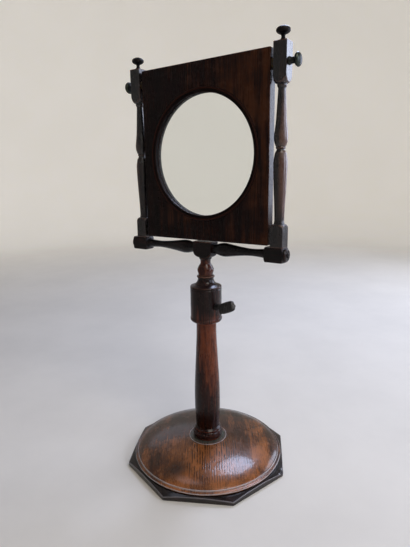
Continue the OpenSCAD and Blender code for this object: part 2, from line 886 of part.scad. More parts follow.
// The screw that the panel hangs on, with a mushroom cap outside its post
module pivot_screw() {
  cap_x = post_out_x + face_gap + stem_h;
  union() {
    translate([panel_w / 2 - pivot_depth, 0, pivot_z])
      rotate([0, 90, 0])
        cylinder(h = post_out_x + face_gap + over - panel_w / 2 + pivot_depth, r = pivot_r);
    turned_x(concat(
      smooth([
        [stem_r + 1, post_out_x + face_gap], [stem_r + 0.7, post_out_x + face_gap + 0.8],
        [stem_r, post_out_x + face_gap + 2.2], [stem_r, cap_x - 1]
      ]),
      smooth([[stem_r + 0.9, cap_x - 0.4], [cap_r * 0.82, cap_x], [cap_r, cap_x + cap_h * 0.3]]),
      ellipse_arc([0, cap_x + cap_h * 0.36], [cap_r, cap_h * 0.64], 4, 84, 8)
    ), pivot_z);
  }
}

module left_pivot_screw() {
  color([0.13, 0.15, 0.12])
    left_side()
      pivot_screw();
}

module right_pivot_screw() {
  color([0.13, 0.15, 0.12])
    pivot_screw();
}

// The bush in the panel's side that takes a pivot screw
module bush() {
  translate([panel_w / 2 - bush_h, 0, pivot_z])
    rotate([0, 90, 0])
      difference() {
        cylinder(h = bush_h, r = bush_r);
        translate([0, 0, bush_h - pivot_depth - face_gap])
          cylinder(h = pivot_depth + face_gap + over, r = pivot_r + run_fit);
      }
}

module left_bush() {
  color([0.60, 0.47, 0.22])
    left_side()
      bush();
}

module right_bush() {
  color([0.60, 0.47, 0.22])
    bush();
}

module lens_panel() {
  color([0.28, 0.11, 0.07])
    difference() {
      translate([-panel_w / 2, -panel_t / 2, panel_z])
        cube([panel_w, panel_t, panel_h]);
      turned_y([[bezel_r + glue_fit, -panel_t], [bezel_r + glue_fit, bezel_back_y]]);
      turned_y([[pocket_r, -panel_t], [pocket_r, panel_t]]);
      for (side = [0, 1])
        mirror([side, 0, 0])
          translate([panel_w / 2 - bush_h - glue_fit, 0, pivot_z])
            rotate([0, 90, 0])
              cylinder(h = bush_h + over, r = bush_r + glue_fit);
      ring_screw_places()
        cylinder(h = ring_screw_h + glue_fit, r = ring_screw_r + glue_fit);
    }
}

// The turned ring that closes the front of the opening
module bezel_ring() {
  front_y = -panel_t / 2 - bezel_proud;
  line_r = (opening_r + bezel_r + bezel_edge) / 2;
  color([0.08, 0.05, 0.05])
    ring_y([
      [opening_r, bezel_back_y], [opening_r, front_y + bezel_lip],
      [opening_r + bezel_lip / 3, front_y + bezel_lip / 3], [opening_r + bezel_lip, front_y],
      [line_r - line_w / 2, front_y], [line_r, front_y + line_depth], [line_r + line_w / 2, front_y],
      [bezel_r - bezel_edge, front_y], [bezel_r, front_y + bezel_edge], [bezel_r, bezel_back_y]
    ]);
}

// A lens with two equal faces, each part of a large sphere
module lens() {
  half_angle = asin(opening_r / lens_curve_r);
  depth = lens_curve_r * (1 - cos(half_angle));
  front = [
    for (i = [0:12])
      let (a = half_angle * i / 12)
        [lens_curve_r * sin(a), lens_front_y - depth + lens_curve_r * (1 - cos(a))]
  ];
  back = [for (i = [12:-1:0]) [front[i][0], lens_front_y + lens_back_y - front[i][1]]];
  color([0.85, 0.92, 0.92, 0.35])
    ring_y(concat(front, [[lens_r, lens_front_y], [lens_r, lens_back_y]], back));
}

// The ring that holds the lens in from the back, screwed to the panel
module retaining_ring() {
  back_y = panel_t / 2;
  face_y = back_y + retainer_t;
  color([0.10, 0.06, 0.05])
    difference() {
      ring_y([
        [opening_r, lens_back_y + glue_fit], [lens_r, lens_back_y + glue_fit], [lens_r, back_y],
        [retainer_r, back_y], [retainer_r, face_y - retainer_edge],
        [retainer_r - retainer_edge, face_y], [opening_r + retainer_edge, face_y],
        [opening_r, face_y - retainer_edge]
      ]);
      ring_screw_places() {
        cylinder(h = ring_screw_h, r = ring_screw_r + glue_fit);
        translate([0, 0, -over])
          cylinder(h = over, r = ring_screw_head_r + glue_fit);
        cylinder(h = ring_screw_head_h, r1 = ring_screw_head_r + glue_fit, r2 = ring_screw_r + glue_fit);
      }
    }
}

// Puts its children at each screw of the retaining ring, with Z running in from the flange's face
module ring_screw_places() {
  for (i = [0:ring_screw_count - 1])
    translate([0, panel_t / 2 + retainer_t, lens_z])
      rotate([0, 360 * (i + 0.5) / ring_screw_count, 0])
        translate([ring_screw_place, 0, 0])
          rotate([90, 0, 0])
            children();
}

module ring_screws() {
  color([0.66, 0.52, 0.24])
    ring_screw_places()
      difference() {
        union() {
          cylinder(h = ring_screw_head_h, r1 = ring_screw_head_r, r2 = ring_screw_r);
          cylinder(h = ring_screw_h, r = ring_screw_r);
        }
        translate([-ring_screw_head_r, -ring_slot_w / 2, -over])
          cube([2 * ring_screw_head_r, ring_slot_w, ring_slot_h + over]);
      }
}

plinth();
plinth_screws();
foot_dome();
column();
column_screw();
column_washer();
collar();
clamp_pad();
clamp_screw();
clamp_wing();
rod();
stem_head();
left_arm();
right_arm();
left_end_button();
right_end_button();
left_post();
right_post();
left_finial();
right_finial();
left_washer();
right_washer();
left_pivot_screw();
right_pivot_screw();
left_bush();
right_bush();
lens_panel();
bezel_ring();
lens();
retaining_ring();
ring_screws();
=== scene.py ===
"""Finished surfaces of a turned-wood stand magnifier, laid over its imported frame.

Sizes are in mm and angles in degrees unless a name or a comment says otherwise.
"""

import logging
import math
from collections.abc import Sequence
from dataclasses import dataclass, field
from enum import Enum

import bpy
import numpy as np
from mathutils import Matrix, Vector


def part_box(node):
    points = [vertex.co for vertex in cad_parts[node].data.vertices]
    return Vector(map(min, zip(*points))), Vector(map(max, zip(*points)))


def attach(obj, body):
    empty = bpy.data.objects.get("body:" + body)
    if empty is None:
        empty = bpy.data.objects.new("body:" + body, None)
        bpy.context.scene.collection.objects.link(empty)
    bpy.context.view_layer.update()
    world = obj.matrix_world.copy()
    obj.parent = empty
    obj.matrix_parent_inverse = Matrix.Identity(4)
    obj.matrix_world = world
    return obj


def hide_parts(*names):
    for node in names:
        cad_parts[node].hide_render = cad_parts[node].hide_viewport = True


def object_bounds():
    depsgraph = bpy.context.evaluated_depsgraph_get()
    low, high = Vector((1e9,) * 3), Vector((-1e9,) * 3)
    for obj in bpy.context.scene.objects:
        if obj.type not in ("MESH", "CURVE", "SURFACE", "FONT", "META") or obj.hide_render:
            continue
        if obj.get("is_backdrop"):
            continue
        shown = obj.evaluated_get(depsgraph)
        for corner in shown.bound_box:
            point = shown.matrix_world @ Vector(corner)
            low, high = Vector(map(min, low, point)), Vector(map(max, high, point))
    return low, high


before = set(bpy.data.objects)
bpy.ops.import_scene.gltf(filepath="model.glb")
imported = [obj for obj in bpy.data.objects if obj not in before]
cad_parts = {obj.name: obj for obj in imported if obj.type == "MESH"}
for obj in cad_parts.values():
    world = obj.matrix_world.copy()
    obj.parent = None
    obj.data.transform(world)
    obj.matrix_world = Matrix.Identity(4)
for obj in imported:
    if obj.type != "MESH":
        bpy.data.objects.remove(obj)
FRAME_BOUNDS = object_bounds()

MM = 0.001
WEAR = "wear"
SHARP_ANGLE = 37
FLAT = 1e6  # a step so long that a pattern doesn't change along it
BOARD_TURN = -34.75  # how far the grain of the foot's boards turns about the upright
CAP_SHARES = np.array([0.97, 0.8, 0.35])[:, None, None]

Pair = tuple[float, float]
Pairs = Sequence[Pair]
Point = tuple[float, float, float]
Colour = tuple[float, float, float]
Socket = bpy.types.NodeSocket
LOG = logging.getLogger("magnifier")


class Along(Enum):
    """The frame's axis that a piece's own axis w lies on: the order in which (u, v, w) become (x, y, z)."""

    X = (2, 0, 1)
    Y = (1, 2, 0)
    Z = (0, 1, 2)

    @property
    def axis(self) -> int:
        """The number of the frame's axis that w becomes."""
        return self.value.index(2)


class Side(Enum):
    """The side of the frame that a piece of a pair is on, as its sign along x."""

    LEFT = -1
    RIGHT = 1

    def __str__(self) -> str:
        """The side's name as it stands in the names of pieces."""
        return self.name.lower()


# ---------------------------------------------------------------------------------------- outlines


def arc(centre: Pair, size: Pair, start: float, stop: float, steps: int = 16) -> np.ndarray:
    """Points of an ellipse: centre plus size times the cosine and sine of an angle from start to stop.

    Args:
        centre: Radius and height of the ellipse's middle.
        size: Its half axes.
        start: First angle in degrees.
        stop: Last angle in degrees.
        steps: Number of chords.

    Returns:
        Rows of radius and height.
    """
    angle = np.radians(np.linspace(start, stop, steps + 1))
    return np.column_stack([centre[0] + size[0] * np.cos(angle), centre[1] + size[1] * np.sin(angle)])


def swept(stations: Pairs, foot: float = 0.0, length: float = 1.0, steps: int = 12) -> np.ndarray:
    """A smooth turned line through stations.

    Between two stations it is a cubic, whose slope at a station is half the chord between its neighbours.

    Args:
        stations: Radius and share of the length.
        foot: Height at share 0.
        length: Height between share 0 and share 1.
        steps: Points in each span.

    Returns:
        Rows of radius and height.
    """
    knots = np.array(stations) * (1.0, length) + (0.0, foot)
    knots = np.vstack([2 * knots[0] - knots[1], knots, 2 * knots[-1] - knots[-2]])
    a, b, c, d = knots[:-3], knots[1:-2], knots[2:-1], knots[3:]
    t = np.linspace(0, 1, steps, endpoint=False)[:, None, None]
    line = b + 0.5 * t * ((c - a) + t * ((2 * a - 5 * b + 4 * c - d) + t * (3 * (b - c) + d - a)))
    return np.vstack([line.transpose(1, 0, 2).reshape(-1, 2), knots[-2:-1]])


def even(line: np.ndarray, step: float) -> np.ndarray:
    """The same outline with points a step apart, found by its length from the start.

    Args:
        line: Rows of radius and height.
        step: Distance between neighbours.

    Returns:
        Rows of radius and height.
    """
    reach = np.concatenate([[0.0], np.cumsum(np.linalg.norm(np.diff(line, axis=0), axis=1))])
    places = np.linspace(0, reach[-1], max(2, int(math.ceil(reach[-1] / step)) + 1))
    return np.column_stack([np.interp(places, reach, line[:, 0]), np.interp(places, reach, line[:, 1])])


def outline(*parts: np.ndarray | Pairs, step: float = 0.4) -> np.ndarray:
    """Parts of an outline joined end to end and made even.

    Args:
        *parts: Rows of radius and height, in order.
        step: Distance between neighbours.

    Returns:
        Rows of radius and height.
    """
    return even(np.vstack([np.asarray(part, float) for part in parts]), step)


# ---------------------------------------------------------------------------------------- surfaces


def laid(u: np.ndarray, v: np.ndarray, w: np.ndarray, along: Along) -> np.ndarray:
    """Puts local coordinates into the frame: the own axis w lies along the named axis, u and v after it.

    Args:
        u: First coordinate across the piece.
        v: Second coordinate across it.
        w: Coordinate along its axis.
        along: The frame's axis.

    Returns:
        A grid of points.
    """
    local = np.stack(np.broadcast_arrays(u, v, w), -1)
    return local[..., list(along.value)]


def revolved(line: np.ndarray, sides: int, along: Along = Along.Z) -> np.ndarray:
    """A turned surface: each point is radius times (cosine, sine) of the turn, at the outline's height.

    Args:
        line: Rows of radius and height.
        sides: Columns round the axis.
        along: Direction of the axis.

    Returns:
        A grid of points, outline by turn.
    """
    turn = np.linspace(0, 2 * np.pi, sides, endpoint=False)[None, :]
    radius, height = line[:, 0][:, None], line[:, 1][:, None]
    return laid(radius * np.cos(turn), radius * np.sin(turn), height, along)


def stock(half_u: float, half_v: float, edge: float, per_side: int = 13, per_corner: int = 4) -> np.ndarray:
    """The outline of sawn square stock: four quarter circles of the edge's radius, joined by straights.

    Args:
        half_u: Half of its width.
        half_v: Half of its depth.
        edge: Radius of its long edges.
        per_side: Points added on each side.
        per_corner: Chords of each edge.

    Returns:
        Rows of u and v, counter-clockwise.
    """
    signs = [(1, 1), (-1, 1), (-1, -1), (1, -1)]
    corners = [
        arc((su * (half_u - edge), sv * (half_v - edge)), (edge, edge), 90 * k, 90 * k + 90, per_corner)
        for k, (su, sv) in enumerate(signs)
    ]
    share = np.linspace(0, 1, per_side + 2)[1:-1, None]
    runs = []
    for here, following in zip(corners, corners[1:] + corners[:1]):
        runs += [here, here[-1] * (1 - share) + following[0] * share]
    return np.vstack(runs)


def soft_min(a: np.ndarray, b: np.ndarray, soft: float = 0.12) -> np.ndarray:
    """The lesser of two lengths, rounded where they meet: min(a, b) - soft * log(1 + exp(-|a - b| / soft)).

    Args:
        a: First length.
        b: Second length.
        soft: Width of the rounding.

    Returns:
        The rounded lesser length.
    """
    return np.minimum(a, b) - soft * np.log1p(np.exp(-np.abs(a - b) / soft))


def lathe_cut(
    section: np.ndarray, line: np.ndarray, inset: np.ndarray | float = 0.0, along: Along = Along.Z
) -> np.ndarray:
    """Square stock on a lathe.

    In each direction the surface lies at the stock's own distance or at the turned radius, the lesser.

    Args:
        section: Rows of u and v of the stock.
        line: Rows of turned radius and height; a radius past the stock's corners leaves it square.
        inset: How far the stock is drawn in at each height, as at an eased end.
        along: Direction of the axis.

    Returns:
        A grid of points, outline by section.
    """
    out = np.linalg.norm(section, axis=1)[None, :]
    drawn = np.broadcast_to(np.asarray(inset, float).reshape(-1, 1), (len(line), 1))
    reach = soft_min(out * (1 - drawn / np.abs(section).max()), line[:, :1])
    return laid(reach * section[:, 0] / out, reach * section[:, 1] / out, line[:, 1:], along)


def eased(height: np.ndarray, low: float, high: float, edge: float) -> np.ndarray:
    """How far a block's sides draw in near its ends: edge minus the height of a quarter circle of it.

    Args:
        height: Heights of the rows.
        low: The block's lower end.
        high: Its upper end.
        edge: Radius of the easing.

    Returns:
        The inset at each height, 0 outside the block's end zones.
    """
    near = np.clip(np.maximum(low + edge - height, height - high + edge), 0, edge)
    inside = (height >= low - 1e-6) & (height <= high + 1e-6)
    return np.where(inside, edge - np.sqrt(np.maximum(edge**2 - near**2, 0)), 0.0)


def capped(grid: np.ndarray) -> np.ndarray:
    """Closes both ends of a turned grid with flat rows, each a share of the end row's size.

    Args:
        grid: Points, outline by turn.

    Returns:
        The grid with a row more at each end for every share.
    """
    first, last = grid[0].mean(0), grid[-1].mean(0)
    low, high = first + (grid[0] - first) * CAP_SHARES, last + (grid[-1] - last) * CAP_SHARES
    return np.concatenate([low[::-1], grid, high])


def blurred(values: np.ndarray, axis: int, spread: float, wraps: bool) -> np.ndarray:
    """A running mean along one direction of a grid, weighted by a bell curve.

    Args:
        values: The grid.
        axis: 0 along the outline, 1 round the turn.
        spread: Width of the bell in grid steps.
        wraps: True if the grid closes on itself in that direction.

    Returns:
        The smoothed grid.
    """
    widest = 24
    reach = int(min(max(2, math.ceil(2 * spread)), widest, values.shape[axis] - 1))
    taps = np.exp(-0.5 * (np.arange(-reach, reach + 1) / max(spread, 0.3)) ** 2)
    pad = [(reach, reach) if k == axis else (0, 0) for k in range(values.ndim)]
    wide = np.pad(values, pad, mode="wrap" if wraps else "edge")
    size = values.shape[axis]
    return sum(tap * np.take(wide, np.arange(k, k + size), axis) for k, tap in enumerate(taps / taps.sum()))


def relief(grid: np.ndarray, reach: float, loop: bool = False) -> np.ndarray:
    """Where wear sits, and where grime and painted shade darken the grooves.

    The number is how far the surface stands out of its own blurred copy, along its normal, over the reach.

    Args:
        grid: Points, outline by turn.
        reach: Width of the blur.
        loop: True if the outline closes on itself.

    Returns:
        A grid of numbers: over 0 on edges and beads, under 0 in grooves.
    """
    down, over = np.gradient(grid, axis=0), np.roll(grid, -1, 1) - np.roll(grid, 1, 1)
    normal = np.cross(over, down)
    normal /= np.maximum(np.linalg.norm(normal, axis=-1, keepdims=True), 1e-9)
    row = np.linalg.norm(down, axis=-1).mean() + 1e-6
    column = np.linalg.norm(over, axis=-1).mean() / 2 + 1e-6
    smooth = blurred(blurred(grid, 0, reach / row, loop), 1, min(reach / column, 2.0), True)
    return ((grid - smooth) * normal).sum(-1) / reach


def wandering(grid: np.ndarray, depth: float, length: float, seed: float) -> np.ndarray:
    """The slight unevenness of hand work: the depth times the mean of five sine waves from five directions.

    Args:
        grid: Points.
        depth: Greatest rise.
        length: Length of the longest wave.
        seed: Number that shifts the waves.

    Returns:
        A grid of heights.
    """
    k = np.arange(5)
    lines = np.stack([np.sin(2.1 * k + seed), np.cos(1.3 * k + 2 * seed), np.sin(0.7 * k + 3 * seed)], -1)
    phase = grid @ lines.T * (2 * np.pi / length) * (1 + 0.37 * k) + seed * (1 + k)
    return depth * np.sin(phase).mean(-1)


def mirrored(grid: np.ndarray) -> np.ndarray:
    """The same grid on the other side of x = 0, with its turn reversed so that it still faces out."""
    return (grid * (-1, 1, 1))[:, ::-1]


def capped_marks(marks: np.ndarray) -> np.ndarray:
    """Wear numbers for a capped grid: those of each end row are repeated on its caps."""
    rows = len(CAP_SHARES)
    return np.pad(marks, ((rows, rows), (0, 0)), mode="edge")


@dataclass
class Rows:
    """The rows of a grid as they are laid, each with its level and its wear number."""

    lines: list[np.ndarray] = field(default_factory=list)
    levels: list[np.ndarray | float] = field(default_factory=list)
    marks: list[float] = field(default_factory=list)

    def add(self, line: np.ndarray, level: np.ndarray | float, mark: float) -> None:
        """Lays one row.

        Args:
            line: Radii or points, one for each column.
            level: Height or depth, the same for all columns or one for each.
            mark: The row's wear number.
        """
        self.lines.append(line)
        self.levels.append(level)
        self.marks.append(mark)

    def stacked(self) -> tuple[np.ndarray, np.ndarray, np.ndarray]:
        """Puts the rows together.

        Returns:
            The lines, the levels and the wear numbers, each as one array, row by column.
        """
        lines = np.array(self.lines)
        columns = lines.shape[1]
        levels = np.array([np.broadcast_to(level, columns) for level in self.levels], float)
        return lines, levels, np.array(self.marks)[:, None] * np.ones(columns)


class Surface:
    """Turns grids into finished mesh pieces and hands them to the frame."""

    @staticmethod
    def mesh(name: str, grid: np.ndarray, worn: np.ndarray, loop: bool) -> bpy.types.Object:
        """Writes a grid as quads that wrap round each turn, with a fan to a pole at each end if it is open.

        Args:
            name: Name of the piece.
            grid: Points, outline by turn.
            worn: The wear number of each point.
            loop: True if the outline closes on itself.

        Returns:
            The new object.
        """
        rows, columns = grid.shape[:2]
        turn = np.arange(columns)
        following = (turn + 1) % columns
        row = np.arange(rows if loop else rows - 1)[:, None]
        here, above = row * columns, ((row + 1) % rows) * columns
        quads = [here + turn, here + following, above + following, above + turn]
        quads = np.stack(quads, -1).reshape(-1, 4)
        points, number = grid.reshape(-1, 3), worn.reshape(-1)
        fans = np.zeros((0, 3), int)
        if not loop:
            last, pole = (rows - 1) * columns, rows * columns
            low = np.stack([np.full(columns, pole), following, turn], -1)
            high = np.stack([last + turn, last + following, np.full(columns, pole + 1)], -1)
            fans = np.concatenate([low, high])
            points = np.concatenate([points, grid[0].mean(0)[None], grid[-1].mean(0)[None]])
            number = np.concatenate([number, worn[0].mean()[None], worn[-1].mean()[None]])
        corners = np.concatenate([quads.ravel(), fans.ravel()]).astype(np.int32)
        sizes = np.concatenate([np.full(len(quads), 4), np.full(len(fans), 3)])
        starts = np.concatenate([[0], np.cumsum(sizes)[:-1]]).astype(np.int32)
        mesh = bpy.data.meshes.new(name)
        mesh.vertices.add(len(points))
        mesh.vertices.foreach_set("co", (points * MM).astype(np.float32).ravel())
        mesh.loops.add(len(corners))
        mesh.loops.foreach_set("vertex_index", corners)
        mesh.polygons.add(len(sizes))
        mesh.polygons.foreach_set("loop_start", starts)
        mesh.update(calc_edges=True)
        marks = mesh.attributes.new(WEAR, "FLOAT", "POINT")
        marks.data.foreach_set("value", number.astype(np.float32))
        mesh.validate()
        mesh.shade_smooth()
        mesh.set_sharp_from_angle(angle=math.radians(SHARP_ANGLE))
        piece = bpy.data.objects.new(name, mesh)
        bpy.context.scene.collection.objects.link(piece)
        return piece

    @staticmethod
    def bored(piece: bpy.types.Object, *cutters: np.ndarray) -> None:
        """Takes each cutter out of a piece for good.

        Args:
            piece: The piece to bore.
            *cutters: Turned grids, outline by turn.
        """
        for number, cutter in enumerate(cutters):
            closed = capped(cutter)
            tool = Surface.mesh(f"{piece.name}_tool_{number}", closed, np.zeros(closed.shape[:2]), False)
            cut = piece.modifiers.new("bore", "BOOLEAN")
            cut.operation, cut.solver, cut.object = "DIFFERENCE", "EXACT", tool
            graph = bpy.context.evaluated_depsgraph_get()
            made = bpy.data.meshes.new_from_object(piece.evaluated_get(graph))
            piece.modifiers.clear()
            old, piece.data = piece.data, made
            made.name = piece.name
            bpy.data.meshes.remove(old)
            bpy.data.objects.remove(tool)

    @staticmethod
    def piece(
        name: str,
        grid: np.ndarray,
        body: str,
        node: str,
        slot: str,
        finish: "Finish",
        loop: bool = False,
        reach: float = 1.3,
        worn: np.ndarray | None = None,
        cutters: tuple[np.ndarray, ...] = (),
    ) -> bpy.types.Object:
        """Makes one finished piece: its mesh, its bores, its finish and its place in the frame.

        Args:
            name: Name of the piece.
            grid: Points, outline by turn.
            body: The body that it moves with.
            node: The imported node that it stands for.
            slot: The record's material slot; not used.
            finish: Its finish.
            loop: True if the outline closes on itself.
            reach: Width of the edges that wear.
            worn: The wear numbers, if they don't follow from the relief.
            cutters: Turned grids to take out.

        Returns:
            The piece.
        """
        shape = grid if loop else capped(grid)
        number = relief(shape, reach, loop) if worn is None else worn
        piece = Surface.mesh(name, shape, number, loop)
        if cutters:
            Surface.bored(piece, *cutters)
        piece.data.materials.clear()
        piece.data.materials.append(finish.material())
        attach(piece, body)
        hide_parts(node)
        LOG.info("%s: %d faces on %s", name, len(piece.data.polygons), body)
        return piece


# ---------------------------------------------------------------------------------------- finishes


def linear(colour: Colour) -> tuple[float, float, float, float]:
    """A display colour from 0 to 255 as linear light: ((c / 255 + 0.055) / 1.055) to the power 2.4.

    Args:
        colour: Red, green and blue as seen.

    Returns:
        Linear red, green, blue and 1.
    """
    share = (np.array(colour, float) / 255 + 0.055) / 1.055
    return (*[float(c) for c in share**2.4], 1.0)


class Bench:
    """Lays out the nodes of one material."""

    def __init__(self, name: str) -> None:
        """Starts a material with one shader and one output.

        Args:
            name: Name of the material.
        """
        self.made = bpy.data.materials.new(name)
        self.made.use_nodes = True
        self.tree = self.made.node_tree
        self.tree.nodes.clear()
        self.output = self.add("ShaderNodeOutputMaterial")
        self.shader = self.add("ShaderNodeBsdfPrincipled")
        self.join(self.output.inputs["Surface"], self.shader.outputs["BSDF"])
        self.place = self.add("ShaderNodeTexCoord").outputs["Object"]

    def add(self, kind: str, **settings: object) -> bpy.types.Node:
        """Adds a node of a kind.

        Args:
            kind: The node's type.
            **settings: Its properties by name.

        Returns:
            The node.
        """
        node = self.tree.nodes.new(kind)
        for name, value in settings.items():
            setattr(node, name, value)
        return node

    def join(self, socket: Socket, value: object) -> None:
        """Links an output to a socket, or writes a plain value into it.

        Args:
            socket: An input.
            value: An output, a number, a colour or a vector.
        """
        if isinstance(value, Socket):
            self.tree.links.new(value, socket)
        else:
            socket.default_value = value

    def shade(self, name: str, value: object) -> None:
        """Gives one of the shader's own sockets a link or a plain value."""
        self.join(self.shader.inputs[name], value)

    def measured(self, size: Point | float, turn: float = 0.0, shift: Point = (0, 0, 0)) -> Socket:
        """Object coordinates turned about the upright and counted in steps of the given size.

        Args:
            size: Length of one step along x, y and z, or one length for all three.
            turn: How far the pattern turns about the upright axis.
            shift: Steps that it moves.

        Returns:
            The vector socket.
        """
        source = self.place
        if turn:
            spun = self.add("ShaderNodeMapping", vector_type="POINT")
            self.join(spun.inputs["Vector"], source)
            spun.inputs["Rotation"].default_value = (0, 0, math.radians(turn))
            source = spun.outputs["Vector"]
        node = self.add("ShaderNodeMapping", vector_type="POINT")
        self.join(node.inputs["Vector"], source)
        node.inputs["Scale"].default_value = [1 / (MM * step) for step in np.broadcast_to(size, 3).tolist()]
        node.inputs["Location"].default_value = shift
        return node.outputs["Vector"]

    def noise(self, vector: Socket, detail: float = 4, rough: float = 0.55, bend: float = 0.0) -> Socket:
        """Cloudy noise of one cloud to a step.

        Args:
            vector: Coordinates counted in steps.
            detail: Number of finer layers.
            rough: How strong each finer layer is.
            bend: How far the noise is bent by noise.

        Returns:
            A number from 0 to 1 round 0.5.
        """
        node = self.add("ShaderNodeTexNoise", noise_dimensions="3D")
        self.join(node.inputs["Vector"], vector)
        for name, value in (("Scale", 1.0), ("Detail", detail), ("Roughness", rough), ("Distortion", bend)):
            node.inputs[name].default_value = value
        return node.outputs["Fac"]

    def between(
        self, value: Socket, low: float, high: float, first: float = 0.0, last: float = 1.0
    ) -> Socket:
        """A number taken smoothly from one span onto another, and held at its ends.

        Args:
            value: The number.
            low: Start of its span.
            high: End of its span.
            first: What the start becomes.
            last: What the end becomes.

        Returns:
            The new number.
        """
        node = self.add("ShaderNodeMapRange", clamp=True, interpolation_type="SMOOTHSTEP")
        self.join(node.inputs["Value"], value)
        for name, number in (("From Min", low), ("From Max", high), ("To Min", first), ("To Max", last)):
            self.join(node.inputs[name], number)
        return node.outputs["Result"]

    def maths(self, kind: str, a: object, b: object) -> Socket:
        """Arithmetic on two numbers.

        Args:
            kind: The operation's name.
            a: First number.
            b: Second number.

        Returns:
            The result.
        """
        node = self.add("ShaderNodeMath", operation=kind)
        self.join(node.inputs[0], a)
        self.join(node.inputs[1], b)
        return node.outputs[0]

    def plus(self, a: object, b: object) -> Socket:
        """The sum of two numbers."""
        return self.maths("ADD", a, b)

    def less(self, a: object, b: object) -> Socket:
        """The first number less the second."""
        return self.maths("SUBTRACT", a, b)

    def times(self, a: object, b: object) -> Socket:
        """The product of two numbers."""
        return self.maths("MULTIPLY", a, b)

    def gauge(self, kind: str, a: Socket, b: Point | None = None) -> Socket:
        """A number read off vectors.

        Args:
            kind: LENGTH, DISTANCE or DOT_PRODUCT.
            a: First vector.
            b: Second vector, where there is one.

        Returns:
            The number.
        """
        node = self.add("ShaderNodeVectorMath", operation=kind)
        self.join(node.inputs[0], a)
        if b is not None:
            self.join(node.inputs[1], b)
        return node.outputs["Value"]

    def blend(self, share: object, a: object, b: object) -> Socket:
        """A colour between two.

        Args:
            share: How much of the second shows.
            a: First colour.
            b: Second colour.

        Returns:
            The mixed colour.
        """
        node = self.add("ShaderNodeMix", data_type="RGBA", blend_type="MIX", clamp_factor=True)
        for place, value in zip((0, 6, 7), (share, a, b)):
            self.join(node.inputs[place], value)
        return node.outputs[2]

    def ramp(self, value: Socket, stops: list[tuple[float, Colour]]) -> Socket:
        """A colour read off a row of display colours.

        Args:
            value: The number that picks the colour.
            stops: Places from 0 to 1, each with its colour.

        Returns:
            The colour.
        """
        node = self.add("ShaderNodeValToRGB")
        self.join(node.inputs["Fac"], value)
        bar = node.color_ramp.elements
        while len(bar) < len(stops):
            bar.new(0.5)
        for stop, (place, colour) in zip(bar, stops):
            stop.position, stop.color = place, linear(colour)
        return node.outputs["Color"]

    def wear(self) -> Socket:
        """The piece's own wear number, which also sets the grime and painted shade in its grooves."""
        return self.add("ShaderNodeAttribute", attribute_name=WEAR).outputs["Fac"]

    def bump(self, height: Socket, depth: float, strength: float, under: Socket | None = None) -> Socket:
        """A normal tipped by a height.

        Args:
            height: A number from 0 to 1.
            depth: Rise of the surface from 0 to 1.
            strength: Share of the tipping that is kept.
            under: The normal that it is laid on, if not the surface's own.

        Returns:
            The tipped normal.
        """
        node = self.add("ShaderNodeBump")
        self.join(node.inputs["Height"], height)
        node.inputs["Distance"].default_value = depth * MM
        node.inputs["Strength"].default_value = strength
        if under is not None:
            self.join(node.inputs["Normal"], under)
        return node.outputs["Normal"]


@dataclass(frozen=True)
class Finish:
    """A finish by name; every finish makes its material once."""

    name: str

    def material(self) -> bpy.types.Material:
        """The finish's material, made at its first use."""
        return bpy.data.materials.get(f"{self.name}_finish") or self.made()

    def made(self) -> bpy.types.Material:
        """Builds the material."""
        raise NotImplementedError


